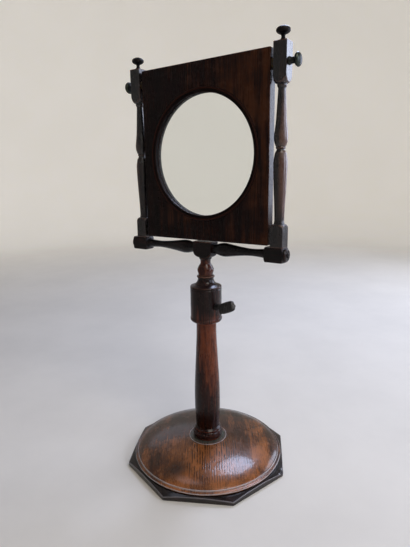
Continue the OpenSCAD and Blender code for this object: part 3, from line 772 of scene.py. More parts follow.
@dataclass(frozen=True)
class Wood(Finish):
    """Old polished wood: bands and fibres along the grain, open pores, grime and painted shade in the
    grooves, rubbed edges.

    Attributes:
        deep: Colour of dark bands, pores, stains, and of the grime and painted shade in grooves.
        body: Colour between them.
        warm: Colour of pale bands.
        rubbed: Colour of worn edges and specks; on the dome, the plinth, the column's torus and the posts'
        vases it also paints highlights and sheen.
        grain: Axis that the grain runs along.
        turn: How far the grain turns about the upright axis.
        band: Width of the bands.
        fibre: Width of the fibres.
        run: Length of the fibres.
        cloud: Size of the cloudy patches.
        cloud_share: How much the patches change the colour.
        pore: Width and length of the pores.
        pores: How dark the pores are.
        grime: Size of the spots that break up the wear and the grime and painted shade.
        rub: How strongly worn edges show.
        gloss: Roughness in dull and in bright patches.
        polish: Weight of the polish on top.
        shine: Specular level of the wood itself.
        coat_gloss: Roughness of the polish.
        depth: Depth of the fibres.
        rings: Depth of the turning lines, in depths of the fibres.
        speck: Size of the pale specks.
        specks: How strongly they show.
        dent: Size of the shallow dents.
        stripes: How strongly the curly figure shows.
        stripe_at: Middle of the curly figure.
        stain_at: Middle of the stain, where there is one.
        sheen_ring_to: Radius out to which a greenish-grey ring is painted round the axis as a reflection, 0
            for none.
        sheen_ring: Colour of that painted reflection.
        painted_light: Painted light and shade, how much the colour rises from painted_light_from to
            painted_light_to along painted_light_way.
        painted_light_from: Where the painted rise starts.
        painted_light_to: Where it ends.
        painted_light_way: Its direction.
    """

    deep: Colour = (24, 13, 12)
    body: Colour = (52, 28, 22)
    warm: Colour = (84, 46, 30)
    rubbed: Colour = (120, 74, 46)
    grain: Along = Along.Z
    turn: float = 0.0
    band: float = 9.0
    fibre: float = 0.9
    run: float = 26.0
    cloud: float = 38.0
    cloud_share: float = 0.35
    pore: Pair = (0.42, 7.0)
    pores: float = 0.5
    grime: float = 2.2
    rub: float = 0.7
    gloss: Pair = (0.26, 0.5)
    polish: float = 0.2
    shine: float = 0.3
    coat_gloss: float = 0.16
    depth: float = 0.03
    rings: float = 0.0
    speck: float = 1.1
    specks: float = 0.15
    dent: float = 14.0
    stripes: float = 0.0
    stripe_at: Point = (34.0, -64.0, 20.0)
    stain_at: Point | None = None
    sheen_ring_to: float = 0.0
    sheen_ring: Colour = (62, 70, 66)
    painted_light: float = 0.0
    painted_light_from: float = -85.0
    painted_light_to: float = 100.0
    painted_light_way: Point = (1.0, 0.0, 0.0)

    def across(self, width: float, length: float) -> Point:
        """Step sizes with the length on the grain's axis.

        Args:
            width: Step across the grain.
            length: Step along it.

        Returns:
            Steps along x, y and z.
        """
        steps = [width, width, width]
        steps[self.grain.axis] = length
        return (steps[0], steps[1], steps[2])

    def painted_light_ramp(self, bench: Bench) -> Socket:
        """Painted light and shade: a slow rise of colour along one direction, lighter where the light falls.
        """
        along = bench.gauge("DOT_PRODUCT", bench.place, self.painted_light_way)
        return bench.between(along, MM * self.painted_light_from, MM * self.painted_light_to, -self.painted_light, self.painted_light)

    def near(self, bench: Bench, point: Point, inner: float, outer: float) -> Socket:
        """A number that marks the wood round a point.

        Args:
            bench: The material's bench.
            point: The point.
            inner: Distance within which the number is 1.
            outer: Distance at which it has fallen to 0.

        Returns:
            The number.
        """
        away = bench.gauge("DISTANCE", bench.place, tuple(MM * step for step in point))
        return bench.between(away, MM * inner, MM * outer, 1.0, 0.0)

    def curl(self, bench: Bench) -> Socket:
        """Curly figure: even dark stripes 3 mm apart, broken up by noise, in a patch round one point.

        Args:
            bench: The material's bench.

        Returns:
            A number from 0 between the stripes to their strength on them.
        """
        wave = bench.add("ShaderNodeTexWave", wave_type="BANDS", bands_direction="X", wave_profile="SIN")
        bench.join(wave.inputs["Vector"], bench.measured(self.across(1.0, 4.0), self.turn))
        for name, value in (("Scale", 0.105), ("Distortion", 3.4), ("Detail", 2.0), ("Detail Scale", 0.5)):
            wave.inputs[name].default_value = value
        breaks = bench.noise(bench.measured(self.across(5.0, 16.0), self.turn, (3, 5, 2)), 3, 0.6)
        stripe = bench.between(wave.outputs["Fac"], 0.3, 0.75)
        lines = bench.times(stripe, bench.between(breaks, 0.4, 0.56))
        return bench.times(bench.times(lines, self.near(bench, self.stripe_at, 26, 56)), self.stripes)

    def marked(self, bench: Bench, colour: Socket, clouds: Socket) -> Socket:
        """Lays the greenish-grey ring, a painted reflection, and the dark stain over the colour, where the
        finish has them.

        Args:
            bench: The material's bench.
            colour: The wood's colour.
            clouds: The noise that makes both ragged.

        Returns:
            The colour with its marks.
        """
        # painted reflection: a greenish-grey ring round the crown
        if self.sheen_ring_to:
            away = bench.gauge("LENGTH", bench.measured((1, 1, FLAT)))
            ragged = bench.plus(away, bench.times(clouds, 8.0))
            left = bench.between(ragged, self.sheen_ring_to, self.sheen_ring_to + 5.0, 0.85, 0.0)
            colour = bench.blend(left, colour, linear(self.sheen_ring))
        if self.stain_at:
            patch = self.near(bench, self.stain_at, 4, 24)
            stain = bench.times(patch, bench.between(clouds, 0.35, 0.55, 0.4, 0.9))
            colour = bench.blend(stain, colour, linear(self.deep))
        return colour

    def made(self) -> bpy.types.Material:
        """Builds the material: colour, gloss and grain depth all come from the same fibres.

        Returns:
            The material.
        """
        bench = Bench(f"{self.name}_finish")
        bands = bench.noise(bench.measured(self.across(self.band, self.band * 13), self.turn), 4, 0.55, 0.8)
        fibres = bench.noise(bench.measured(self.across(self.fibre, self.run), self.turn), 5, 0.65, 0.3)
        pores = bench.noise(bench.measured(self.across(*self.pore), self.turn, (7, 3, 1)), 2, 0.5)
        clouds = bench.noise(bench.measured(self.cloud), 4, 0.6)
        fine = bench.noise(bench.measured(self.grime), 5, 0.7)
        pore = bench.between(pores, 0.58, 0.68)

        mixed = bench.plus(bench.times(bands, 0.55), bench.times(fibres, 0.45))
        mixed = bench.plus(mixed, bench.times(bench.less(clouds, 0.5), self.cloud_share))
        # painted light and shade: the colour rises along one direction, lighter where the light falls
        if self.painted_light:
            mixed = bench.plus(mixed, self.painted_light_ramp(bench))
        colour = bench.ramp(mixed, [(0.34, self.deep), (0.5, self.body), (0.66, self.warm)])
        curl = self.curl(bench) if self.stripes else None
        if curl is not None:
            # painted light: a paler patch round the curly figure, on the dome's lit front
            shown = bench.times(self.near(bench, self.stripe_at, 10, 66), 0.5)
            colour = bench.blend(curl, bench.blend(shown, colour, linear(self.warm)), linear(self.deep))
        colour = self.marked(bench, colour, clouds)
        colour = bench.blend(bench.times(pore, self.pores), colour, linear(self.deep))

        wear = bench.wear()
        # grime and painted shade: grooves and hollows are darkened towards a deeper colour
        dirt_and_shade = bench.between(bench.plus(wear, bench.times(fine, 0.06)), -0.22, 0.0, 0.8, 0.0)
        edge = bench.between(bench.plus(wear, bench.times(bench.less(fine, 0.5), 0.35)), 0.1, 0.42)
        colour = bench.blend(dirt_and_shade, colour, linear(tuple(0.6 * c for c in self.deep)))
        # worn edges turn paler; on some finishes this pale colour is also a painted highlight
        colour = bench.blend(bench.times(edge, self.rub), colour, linear(self.rubbed))
        speck = bench.between(bench.noise(bench.measured(self.speck, 0, (3, 9, 4)), 3, 0.8), 0.7, 0.78)
        colour = bench.blend(bench.times(speck, self.specks), colour, linear(self.rubbed))
        bench.shade("Base Color", colour)

        dull = bench.plus(bench.between(clouds, 0.32, 0.7, *self.gloss), bench.times(pore, 0.15))
        dull = bench.plus(dull, bench.times(bench.less(fibres, 0.5), 0.16))
        bench.shade("Roughness", bench.plus(dull, bench.times(dirt_and_shade, 0.2)))

        height = bench.less(bench.times(fibres, 0.8), bench.times(pore, 0.7))
        dents = bench.noise(bench.measured(self.dent, 0, (5, 1, 8)), 3, 0.5)
        normal = bench.bump(dents, 0.4, 0.35)
        if self.rings:
            lines = bench.noise(bench.measured(self.across(160.0, 0.7)), 3, 0.6)
            normal = bench.bump(lines, self.depth * self.rings, 0.8, normal)
        if curl is not None:
            normal = bench.bump(curl, 0.08, 0.9, normal)
        bench.shade("Normal", bench.bump(height, self.depth, 0.8, normal))
        bench.shade("Coat Normal", normal)
        bench.shade("IOR", 1.5)
        bench.shade("Specular IOR Level", self.shine)
        bench.shade("Coat Weight", self.polish)
        bench.shade("Coat Roughness", self.coat_gloss)
        return bench.made


@dataclass(frozen=True)
class Metal(Finish):
    """Old metal: bright where it is rubbed, with a dull film in patches and in every recess.

    Attributes:
        bright: Colour of the rubbed metal.
        film: Colour of the film.
        filmed: Share of the metal that the film covers.
        gloss: Roughness of the bare metal and of the film.
        patch: Size of the patches.
    """

    bright: Colour = (150, 124, 72)
    film: Colour = (52, 46, 30)
    filmed: float = 0.5
    gloss: Pair = (0.22, 0.5)
    patch: float = 5.0

    def made(self) -> bpy.types.Material:
        """Builds the material: a film that grows in patches takes the shine with it.

        Returns:
            The material.
        """
        bench = Bench(f"{self.name}_finish")
        patches = bench.noise(bench.measured(self.patch), 6, 0.65)
        fine = bench.noise(bench.measured(0.5), 4, 0.7)
        wear = bench.wear()
        film = bench.less(bench.plus(patches, self.filmed - 0.5), bench.times(wear, 1.1))
        film = bench.between(film, 0.42, 0.62)
        dimmed = linear(tuple(0.72 * c for c in self.bright))
        tint = bench.blend(bench.between(fine, 0.35, 0.7), linear(self.bright), dimmed)
        bench.shade("Base Color", bench.blend(film, tint, linear(self.film)))
        bench.shade("Metallic", bench.between(film, 0.0, 1.0, 1.0, 0.35))
        dull = bench.between(film, 0.0, 1.0, *self.gloss)
        bench.shade("Roughness", bench.plus(dull, bench.times(fine, 0.12)))
        turned = bench.noise(bench.measured((0.35, 40.0, 40.0)), 2, 0.5)
        bench.shade("Normal", bench.bump(fine, 0.03, 0.6, bench.bump(turned, 0.02, 0.5)))
        return bench.made


@dataclass(frozen=True)
class LensGlass(Finish):
    """Clear old crown glass with a faint grey-green cast.

    Attributes:
        cast: Colour of the glass.
        let_by: Share of lamplight that passes to the floor behind, in linear red, green, blue and 1.
        index: Refractive index.
    """

    cast: Colour = (248, 251, 249)
    let_by: tuple[float, float, float, float] = (0.9, 0.91, 0.9, 1)
    index: float = 1.52

    def made(self) -> bpy.types.Material:
        """Builds the material: glass, except that a ray that looks for a lamp passes with a little loss.

        Returns:
            The material.
        """
        bench = Bench(f"{self.name}_finish")
        bench.shade("Base Color", linear(self.cast))
        bench.shade("Roughness", 0.0)
        bench.shade("IOR", self.index)
        bench.shade("Transmission Weight", 1.0)
        through = bench.add("ShaderNodeBsdfTransparent")
        through.inputs["Color"].default_value = self.let_by
        lamp = bench.add("ShaderNodeLightPath").outputs["Is Shadow Ray"]
        mix = bench.add("ShaderNodeMixShader")
        for place, source in enumerate((lamp, bench.shader.outputs["BSDF"], through.outputs["BSDF"])):
            bench.join(mix.inputs[place], source)
        bench.join(bench.output.inputs["Surface"], mix.outputs["Shader"])
        return bench.made


# painted light: the panel grows lighter towards its right side
PANEL_WOOD = Wood(
    "panel_wood", (12, 5, 4), (26, 11, 9), (66, 35, 17), (46, 29, 22),
    band=10, run=46, cloud=42, cloud_share=0.5, pores=0.6, rub=0.3, specks=0.05,
    gloss=(0.2, 0.32), polish=0.03, shine=0.14, painted_light=0.08,
)
# its worn colour also paints the sheen on the vases' outer side
FRAME_WOOD = Wood(
    "frame_wood", (6, 4, 6), (11, 8, 10), (38, 23, 20), (104, 72, 58),
    band=6, rings=1.0, rub=0.6, gloss=(0.2, 0.32), polish=0.03, shine=0.7,
)
BAR_WOOD = Wood(
    "bar_wood", (5, 4, 6), (10, 7, 9), (38, 18, 15), (62, 38, 30),
    grain=Along.X, band=6, rings=1.0, rub=0.4, gloss=(0.22, 0.36), polish=0.1, shine=0.2,
)
# painted light: the head grows lighter below the block, on the bulb
HEAD_WOOD = Wood(
    "head_wood", (12, 6, 8), (27, 13, 14), (88, 45, 31), (96, 60, 46),
    band=12, cloud_share=0.15, rub=0.5, gloss=(0.2, 0.36), polish=0.24, shine=0.14,
    painted_light=0.11, painted_light_from=266.0, painted_light_to=256.0, painted_light_way=(0.0, 0.0, 1.0),
)
# painted light: the collar grows lighter towards its foot
COLLAR_WOOD = Wood(
    "collar_wood", (15, 8, 9), (34, 20, 19), (100, 52, 37), (112, 82, 68),
    band=3.5, fibre=0.7, cloud_share=0.2, rings=1.0, gloss=(0.2, 0.36), polish=0.18, shine=0.14,
    painted_light=0.055, painted_light_from=206.0, painted_light_to=186.0, painted_light_way=(0.0, 0.0, 1.0),
)
# painted light and shade: the column grows lighter upwards and towards its right front, darker at its foot
COLUMN_WOOD = Wood(
    "column_wood", (18, 6, 6), (48, 19, 12), (110, 55, 31), (124, 62, 40),
    band=4.0, fibre=0.7, run=44, cloud_share=0.2, pores=0.6, rings=0.8,
    gloss=(0.18, 0.34), polish=0.15, shine=0.16,
    painted_light=0.11, painted_light_from=62.0, painted_light_to=196.0, painted_light_way=(2.2, -0.6, 1.0),
)
# painted light and shade: the dome grows lighter towards the front right and darker towards the back left
# painted reflection: the greenish-grey ring round the crown
# the pale grey worn colour paints highlight lines on the bead and step, besides wear
DOME_WOOD = Wood(
    "dome_wood", (26, 15, 10), (68, 40, 25), (146, 88, 45), (200, 196, 198),
    grain=Along.Y, turn=BOARD_TURN, band=16, fibre=1.2, run=16, cloud=40, cloud_share=0.45, pores=0.4,
    specks=0.5, gloss=(0.18, 0.34), polish=0.45, shine=0.28, coat_gloss=0.1,
    stripes=0.85, stripe_at=(28.0, -34.0, 22.0), stain_at=(1.0, -72.0, 19.0), sheen_ring_to=24.5,
    painted_light=0.09, painted_light_from=-70.0, painted_light_to=85.0, painted_light_way=(0.55, -0.8, 0.0),
)
# the pale grey worn colour makes the top edge a painted highlight as well as wear
PLINTH_WOOD = Wood(
    "plinth_wood", (8, 5, 5), (18, 10, 9), (46, 26, 21), (150, 144, 146),
    grain=Along.Y, turn=BOARD_TURN, band=8, rub=0.34, gloss=(0.14, 0.26), polish=0.35, shine=0.35,
    coat_gloss=0.1,
)
BLACK_WOOD = Wood(
    "black_wood", (6, 5, 6), (12, 10, 11), (28, 19, 17), (46, 33, 28),
    band=5, rings=0.8, rub=0.3, specks=0.05, gloss=(0.38, 0.52), polish=0.04, shine=0.1, coat_gloss=0.1,
)
BEZEL_WOOD = Wood(
    "bezel_wood", (6, 5, 6), (12, 9, 10), (26, 16, 14), (60, 33, 26),
    band=5, rub=0.6, specks=0.03, gloss=(0.5, 0.66), polish=0.0, shine=0.06,
)
WING_WOOD = Wood(
    "wing_wood", (9, 9, 10), (22, 21, 22), (44, 42, 42), (128, 126, 122),
    grain=Along.X, band=3, fibre=0.5, run=12, rub=0.35, gloss=(0.3, 0.56), polish=0.1, depth=0.2,
)
PAD_WOOD = Wood(
    "pad_wood", (120, 92, 44), (158, 126, 66), (184, 152, 88), (200, 174, 112), band=3, fibre=0.4, run=6
)
DARK_BRONZE = Metal("dark_bronze", (66, 72, 66), (14, 18, 18), filmed=0.68, gloss=(0.27, 0.42))
BRASS = Metal("brass", (120, 98, 58), (40, 32, 22), filmed=0.6)
IRON = Metal("iron", (128, 124, 118), (58, 42, 34), gloss=(0.3, 0.6))
GLASS = LensGlass("lens_glass")


# -------------------------------------------------------------- the foot, the column and the clamp


@dataclass
class Foot:
    """The octagonal plinth and the turned dome on it."""

    body: str = "base"
    plinth_h: float = 7.5
    plinth_edge: float = 0.7
    corner_r: float = 104.45
    corner_h: float = 4.3
    corner_turn: float = 4.8
    chip_h: float = 1.9
    chip_radians: float = 0.03
    dome_r: float = 94.6
    bead_r: float = 1.7
    step_r: float = 91.2
    rise_z: float = 7.685
    rise: Pair = (93.6, 18.02)
    crown_r: float = 24.0
    seat_z: float = 25.8
    foot_turn: float = -17.7
    screw_place: float = 62.0
    screw_hole: Pairs = ((4.05, -1), (4.05, 0.6), (2.05, 2.6), (2.05, 9))
    middle_hole: Pairs = ((9.05, -1), (9.05, 4.0), (3.05, 4.0), (3.05, 9))

    def plinth(self) -> None:
        """The board: a rounded octagon whose side rises to a turned slope, so a face ends in an arched line.

        A column's reach is the octagon's inner radius over the cosine of the turn from the face's middle.
        The top of the side lies on the slope from the dome's rim to the corners. One corner is chipped.
        """
        turn = np.radians(np.linspace(0, 360, 576, endpoint=False))
        corner = math.radians(self.corner_turn)
        from_face = (turn - corner) % (np.pi / 4) - np.pi / 8
        from_corner = (turn - corner + np.pi) % (2 * np.pi) - np.pi
        flat = self.corner_r * math.cos(math.pi / 8)
        reach = soft_min(flat / np.cos(from_face), np.full_like(turn, self.corner_r + 0.05), 0.25)
        slope = (self.plinth_h - self.corner_h) / (self.corner_r - self.dome_r)
        top = self.plinth_h - (reach - self.dome_r) * slope
        chip = self.chip_h * np.exp(-((from_corner / self.chip_radians) ** 2))
        edge, clean, foot_rub, top_rub, dusty_and_shaded, dirty_and_shaded = self.plinth_edge, 0.0, 0.3, 0.45, -0.15, -0.3

        rows = Rows()
        for share in (0.3, 0.8, 0.96):
            rows.add(share * reach, 0.0, clean)
        for angle in np.radians(np.linspace(-90, 0, 5)):
            rows.add(reach - edge + edge * np.cos(angle), edge + edge * np.sin(angle), foot_rub)
        for share in (0.15, 0.5, 0.85):
            rows.add(reach, edge + (top - 2 * edge) * share, clean)
        # painted highlight and wear: the top edge rows take the pale grey worn colour
        for angle in np.radians(np.linspace(0, 90, 6)):
            radius = reach - edge + edge * np.cos(angle) - 0.5 * chip
            rows.add(radius, top - edge + edge * np.sin(angle) - chip, top_rub)
        # grime and painted shade: the slope is darkened where it meets the dome
        for share, mark in ((0.08, clean), (0.3, clean), (0.6, clean), (0.85, dusty_and_shaded)):
            radius = (reach - edge) * (1 - share) + self.dome_r * share
            rows.add(radius, top * (1 - share) + self.plinth_h * share, mark)
        rows.add(np.full_like(reach, self.dome_r - 1.0), self.plinth_h, dirty_and_shaded)

        radius, height, marks = rows.stacked()
        grid = np.stack([radius * np.cos(turn), radius * np.sin(turn), height], -1)
        wave = wandering(grid, 0.15, 60, 2.0) * (height > 1.5)
        grid[..., 2] = np.clip(grid[..., 2] + wave, 0, self.plinth_h)
        worn = capped_marks(marks + 0.5 * chip * (marks == top_rub))

        hole = revolved(outline(self.screw_hole, step=1.0), 32)
        turns = np.radians(self.foot_turn + np.array([0, 90, 180, 270]))
        cutters = [hole + (self.screw_place * math.cos(t), self.screw_place * math.sin(t), 0) for t in turns]
        cutters.append(revolved(outline(self.middle_hole, step=1.0), 48))
        Surface.piece(
            "plinth_board", grid, self.body, "plinth", "plinth_wood", PLINTH_WOOD,
            worn=worn, cutters=tuple(cutters),
        )

    def dome(self) -> None:
        """The dome: bead, step, a long elliptic rise and a flat ring round the column.

        Its wear is its relief, with a bell-shaped crest on the step's edge and one on the bead; in the dome's
        pale grey worn colour these crests are painted highlight lines as well as wear.
        """
        line = outline(
            arc((self.dome_r - self.bead_r, self.plinth_h + self.bead_r), (self.bead_r,) * 2, -90, 60, 12),
            [(self.step_r, 10.9), (self.step_r, 12.5)],
            arc((0, self.rise_z), self.rise, 15.5, 75.1, 48),
            [(self.crown_r, self.seat_z)],
        )
        grid = revolved(line, 288)
        grid[..., 2] += wandering(grid, 0.12, 70, 1.0) * (line[:, 1] > 13)[:, None]
        grid[..., 2] = np.minimum(grid[..., 2], self.seat_z)
        shape = capped(grid)
        radius = np.hypot(shape[..., 0], shape[..., 1])
        # painted highlight: bright lines along the step's edge and the bead, laid in as wear
        step_highlight = 0.4 * np.exp(-(((radius - self.step_r - 0.2) / 0.45) ** 2))
        bead_highlight = 0.3 * np.exp(-(((radius - self.dome_r) / 0.35) ** 2))
        worn = relief(shape, 1.3) + (step_highlight + bead_highlight) * (shape[..., 2] > 9)
        Surface.piece("turned_dome", grid, self.body, "foot_dome", "dome_mahogany", DOME_WOOD, worn=worn)

    def build(self) -> None:
        """Makes both."""
        self.plinth()
        self.dome()


@dataclass
class Column:
    """The turned column, its collar and the rod that slides in them."""

    body: str = "base"
    seat_z: float = 25.8
    collar_z: float = 181.8
    drum_top_z: float = 227.5
    lip_z: float = 239.8
    rod_r: float = 6.0
    rod_h: float = 150.0
    spigot_r: float = 4.5
    play: float = 0.15
    clamp_r: float = 3.75
    shaft: Pairs = (
        (14.7, 0), (15.9, 0.14), (16.2, 0.24), (15.82, 0.42), (14.3, 0.62), (12.59, 0.86), (12.4, 1),
    )
    drum: Pairs = (
        (19.6, 187.5), (19.1, 188.0), (19.1, 223.6), (18.5, 224.1), (19.1, 224.6), (19.1, 226.3),
    )
    neck: Pairs = ((13.7, 0.13), (11.1, 0.34), (9.7, 0.6), (9.7, 0.78))

    def bore(self, low: float, high: float) -> np.ndarray:
        """A straight hole up the middle for the rod, with its play."""
        radius = self.rod_r + self.play
        return revolved(outline([(radius, low), (radius, high)], step=4.0), 48)

    def column(self) -> None:
        """The shaft: torus, fillet and a long belly that tapers to the collar, bored for the rod."""
        foot = self.seat_z
        line = outline(
            arc((16.05, foot + 5.5), (2.75, 5.5), -90, 90, 20),
            [(17.0, foot + 11), (17.0, foot + 12.6), (16.6, foot + 13)],
            swept(self.shaft, foot + 15, self.collar_z - foot - 15),
        )
        cutter = self.bore(self.lip_z - self.rod_h - 0.3, self.collar_z + 5)
        # the wide wear reach paints the torus and fillet paler: worn edges and a painted highlight
        Surface.piece(
            "turned_column", revolved(line, 96), self.body, "column", "column_mahogany", COLUMN_WOOD,
            reach=2.8, cutters=(cutter,),
        )

    def collar(self) -> None:
        """The collar: rounded underside, drum with a cut line, hollow neck and lip, bored twice."""
        line = outline(
            arc((13.7, 186.0), (5.9, 4.2), -90, 0, 12),
            self.drum,
            arc((17.9, 226.3), (1.2, 1.2), 0, 90, 6),
            swept(self.neck, self.drum_top_z, self.lip_z - self.drum_top_z),
            [(10.8, 238.0), (10.8, 239.2), (10.2, self.lip_z)],
            step=0.35,
        )
        rod_hole = self.bore(self.collar_z - 5, self.lip_z + 5)
        clamp_hole = revolved(outline([(self.clamp_r, 0), (self.clamp_r, 30)], step=3.0), 32)
        Surface.piece(
            "turned_collar", revolved(line, 112), self.body, "collar", "dark_mahogany", COLLAR_WOOD,
            cutters=(rod_hole, Clamp().slanted(clamp_hole)),
        )

    def rod(self) -> None:
        """The rod: a plain turned bar with the spigot that the head turns on."""
        low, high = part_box("rod")
        foot, shoulder = low.z / MM, self.lip_z + 0.3
        line = outline(
            [(5.6, foot), (self.rod_r, foot + 0.4), (self.rod_r, shoulder)],
            [(self.spigot_r, shoulder), (self.spigot_r, high.z / MM)],
            step=0.5,
        )
        grid = revolved(line, 64)
        Surface.piece("sliding_stem", grid, "sliding_rod", "rod", "column_mahogany", COLUMN_WOOD)

    def build(self) -> None:
        """Makes the three."""
        self.column()
        self.collar()
        self.rod()


@dataclass
class Clamp:
    """The wing screw: a shank that slants up out of the collar and a rough flat wing."""

    body: str = "clamp_handle"
    origin_z: float = 199.69
    slant: float = 13.0
    turn: float = -17.7
    shank_r: float = 3.6
    shank_from: float = 9.55
    shank_end: float = 29.25
    wing_from: float = -4.0
    wing_w: float = 25.0
    root_t: float = 3.7
    tip_t: float = 2.7
    tilt: float = 11.0
    drop: float = 3.0
    hollow: Pairs = ((3.6, 22.0), (3.35, 24.5), (3.2, 26.5), (3.5, 28.6), (3.5, 29.25))
    sides: Pairs = ((4.99, 0), (6.14, 3.5), (6.4, 10), (6.21, 18), (5.12, 23), (2.69, 25))

    def slanted(self, grid: np.ndarray) -> np.ndarray:
        """Leans an upright grid over to the clamp's axis, turns it to its side and lifts it to its hole.

        Args:
            grid: Points, with the clamp's axis upright from the origin.

        Returns:
            The points in their place.
        """
        lift = Matrix.Translation((0, 0, self.origin_z))
        turn = Matrix.Rotation(math.radians(self.turn), 4, "Z")
        lean = Matrix.Rotation(math.radians(90 - self.slant), 4, "Y")
        place = np.array(lift @ turn @ lean)
        return grid @ place[:3, :3].T + place[:3, 3]

    def shank(self) -> None:
        """The shank: a plain turned pin with a shallow hollow before the wing."""
        straight = [(self.shank_r, self.shank_from), self.hollow[0]]
        grid = self.slanted(revolved(outline(straight, swept(self.hollow), step=0.35), 48))
        Surface.piece("clamp_pin", grid, self.body, "clamp_screw", "wing_wood", WING_WOOD)

    def wing(self) -> None:
        """The wing: at each place a flattened oval, as high as the side view, its thickness a taper.

        The oval is a superellipse of power 3. Carving marks and a broken far end are waves laid on it, and
        the whole leans over by its tilt.
        """
        place = np.linspace(self.wing_from, self.wing_w, 90)
        knots = swept(self.sides)
        half_h = np.interp(place, knots[:, 1], knots[:, 0])
        half_t = np.interp(place, [0, self.wing_w], [self.root_t, self.tip_t])
        ending = np.sqrt(np.clip(1 - np.clip((place - self.wing_w + 1.6) / 1.75, 0, 1) ** 2, 0, 1))
        angle = np.linspace(0, 2 * np.pi, 72, endpoint=False)[None, :]
        cosine, sine = np.cos(angle), np.sin(angle)
        squash = (np.abs(cosine) ** 3 + np.abs(sine) ** 3) ** (-1 / 3)
        across = (half_h * (0.35 + 0.65 * ending))[:, None] * cosine * squash
        thick = (half_t * (0.25 + 0.75 * ending))[:, None] * sine * squash
        grid = laid(across, thick, place[:, None], Along.Z)

        strokes = np.sin(grid[..., 2] * 1.3 + grid[..., 0] * 0.9)
        nicks = np.sin(grid[..., 0] * 2.9 + 1.7)
        grid[..., 1] *= np.minimum(1 + 0.045 * strokes + 0.03 * nicks, 1.04)
        far = np.clip((place - self.wing_w + 4) / 4, 0, 1)[:, None]
        broken = np.sin(grid[..., 0] * 1.1 + 0.6) * np.sin(grid[..., 1] * 1.7 + 0.4)
        grid[..., 2] -= far * (0.9 + 0.9 * broken)

        lean = math.radians(-self.tilt)
        x, z = grid[..., 0].copy(), grid[..., 2].copy()
        grid[..., 0] = self.drop + x * math.cos(lean) + z * math.sin(lean)
        grid[..., 2] = self.shank_end + z * math.cos(lean) - x * math.sin(lean)
        grid[..., 2] = np.maximum(grid[..., 2], self.shank_end)
        chip = np.clip((place - self.wing_w + 1.4) / 1.2, 0, 1)[:, None] * 0.6
        worn = 0.3 * relief(capped(grid), 1.0) + capped_marks(chip + 0 * across)
        Surface.piece(
            "clamp_wing_blade", self.slanted(grid), self.body, "clamp_wing", "wing_wood", WING_WOOD, worn=worn
        )

    def build(self) -> None:
        """Makes both."""
        self.shank()
        self.wing()


# -------------------------------------------------------------------------- the head and the posts


@dataclass
class Crossbar:
    """The head on the stem and the two turned arms with their end blocks and buttons."""

    body: str = "head"
    head_z: float = 240.1
    block_z: float = 262.6
    block_top_z: float = 281.4
    bar_z: float = 273.2
    stock_w: float = 16.0
    block_w: float = 25.6
    neck_r: float = 7.7
    bore_r: float = 4.65
    bore_h: float = 10.3
    arm_x: float = 12.8
    right_end_x: float = 81.0
    left_end_x: float = 87.4
    end_w: float = 22.5
    bulb: Pairs = ((8.5, 0), (9.1, 0.12), (10.0, 0.3), (8.5, 0.49), (6.3, 0.66), (6.3, 0.84))
    turned_arm: Pairs = (
        (5.69, 0), (6.0, 0.06), (7.66, 0.16), (7.9, 0.25), (6.32, 0.41), (4.94, 0.57), (4.2, 0.7), (4.2, 0.8),
        (4.79, 0.93), (5.46, 1),
    )
    end_rings: Pairs = (
        (7.5, 1.0), (7.0, 1.9), (6.1, 2.6), (5.6, 2.6), (5.35, 2.0), (5.1, 2.6), (2.9, 2.6),
    )

    def head(self) -> None:
        """Bulb, neck and block: sawn stock cut by one outline, square where that runs past its corners."""
        corner = math.hypot(self.block_w, self.stock_w) / 2
        neck, low, high = self.neck_r, self.block_z, self.block_top_z
        line = outline(
            swept(self.bulb, self.head_z, low - self.head_z),
            [(neck, low - 1.6), (neck, low)],
            arc((neck, low + 8), (corner - neck, 8), -90, 0, 24),
            [(corner + 2, low + 8.6), (corner + 2, high - 2), (corner - 0.3, high)],
            step=0.35,
        )
        section = stock(self.block_w / 2, self.stock_w / 2, 0.6, 17)
        grid = lathe_cut(section, line, eased(line[:, 1], low - 50, high, 0.6))
        hole = [(self.bore_r, self.head_z - 2), (self.bore_r, self.head_z + self.bore_h)]
        Surface.piece(
            "stem_head_block", grid, self.body, "stem_head", "dark_mahogany", HEAD_WOOD,
            cutters=(revolved(outline(hole, step=2.0), 48),),
        )

    def arm(self, side: Side, end_x: float) -> None:
        """One arm: a vase that thins towards its end block, cut in square stock, ringed at its outer end.

        Args:
            side: Which arm.
            end_x: Where its end block begins.
        """
        stop = end_x + self.end_w
        half = self.stock_w / 2
        corner = half * math.sqrt(2)
        line = outline(
            swept(self.turned_arm, self.arm_x, end_x - self.arm_x),
            arc((5.9, end_x + 2.5), (corner - 5.9, 2.5), -90, 0, 12),
            [(corner + 1.5, end_x + 3.2), (corner + 1.5, stop - 3.2)],
            arc((7.5, stop - 2.5), (corner - 7.5, 2.5), 0, 90, 12),
            np.array(self.end_rings) + (0, stop),
            step=0.3,
        )
        grid = lathe_cut(stock(half, half, 0.55), line, 0.0, Along.X)
        grid[..., 2] += self.bar_z
        knob = outline([(3.0, stop + 2.55)], arc((0.05, stop + 2.6), (2.95, 1.4), 0, 90, 12), step=0.2)
        button = revolved(knob, 40, Along.X) + (0, 0, self.bar_z)
        if side is Side.LEFT:
            grid, button = mirrored(grid), mirrored(button)
        Surface.piece(f"{side}_turned_arm", grid, self.body, f"{side}_arm", "dark_mahogany", BAR_WOOD)
        Surface.piece(
            f"{side}_button", button, self.body, f"{side}_end_button", "ebonised_wood", BLACK_WOOD, reach=0.8
        )

    def build(self) -> None:
        """Makes the head and both arms."""
        self.head()
        self.arm(Side.RIGHT, self.right_end_x)
        self.arm(Side.LEFT, self.left_end_x)


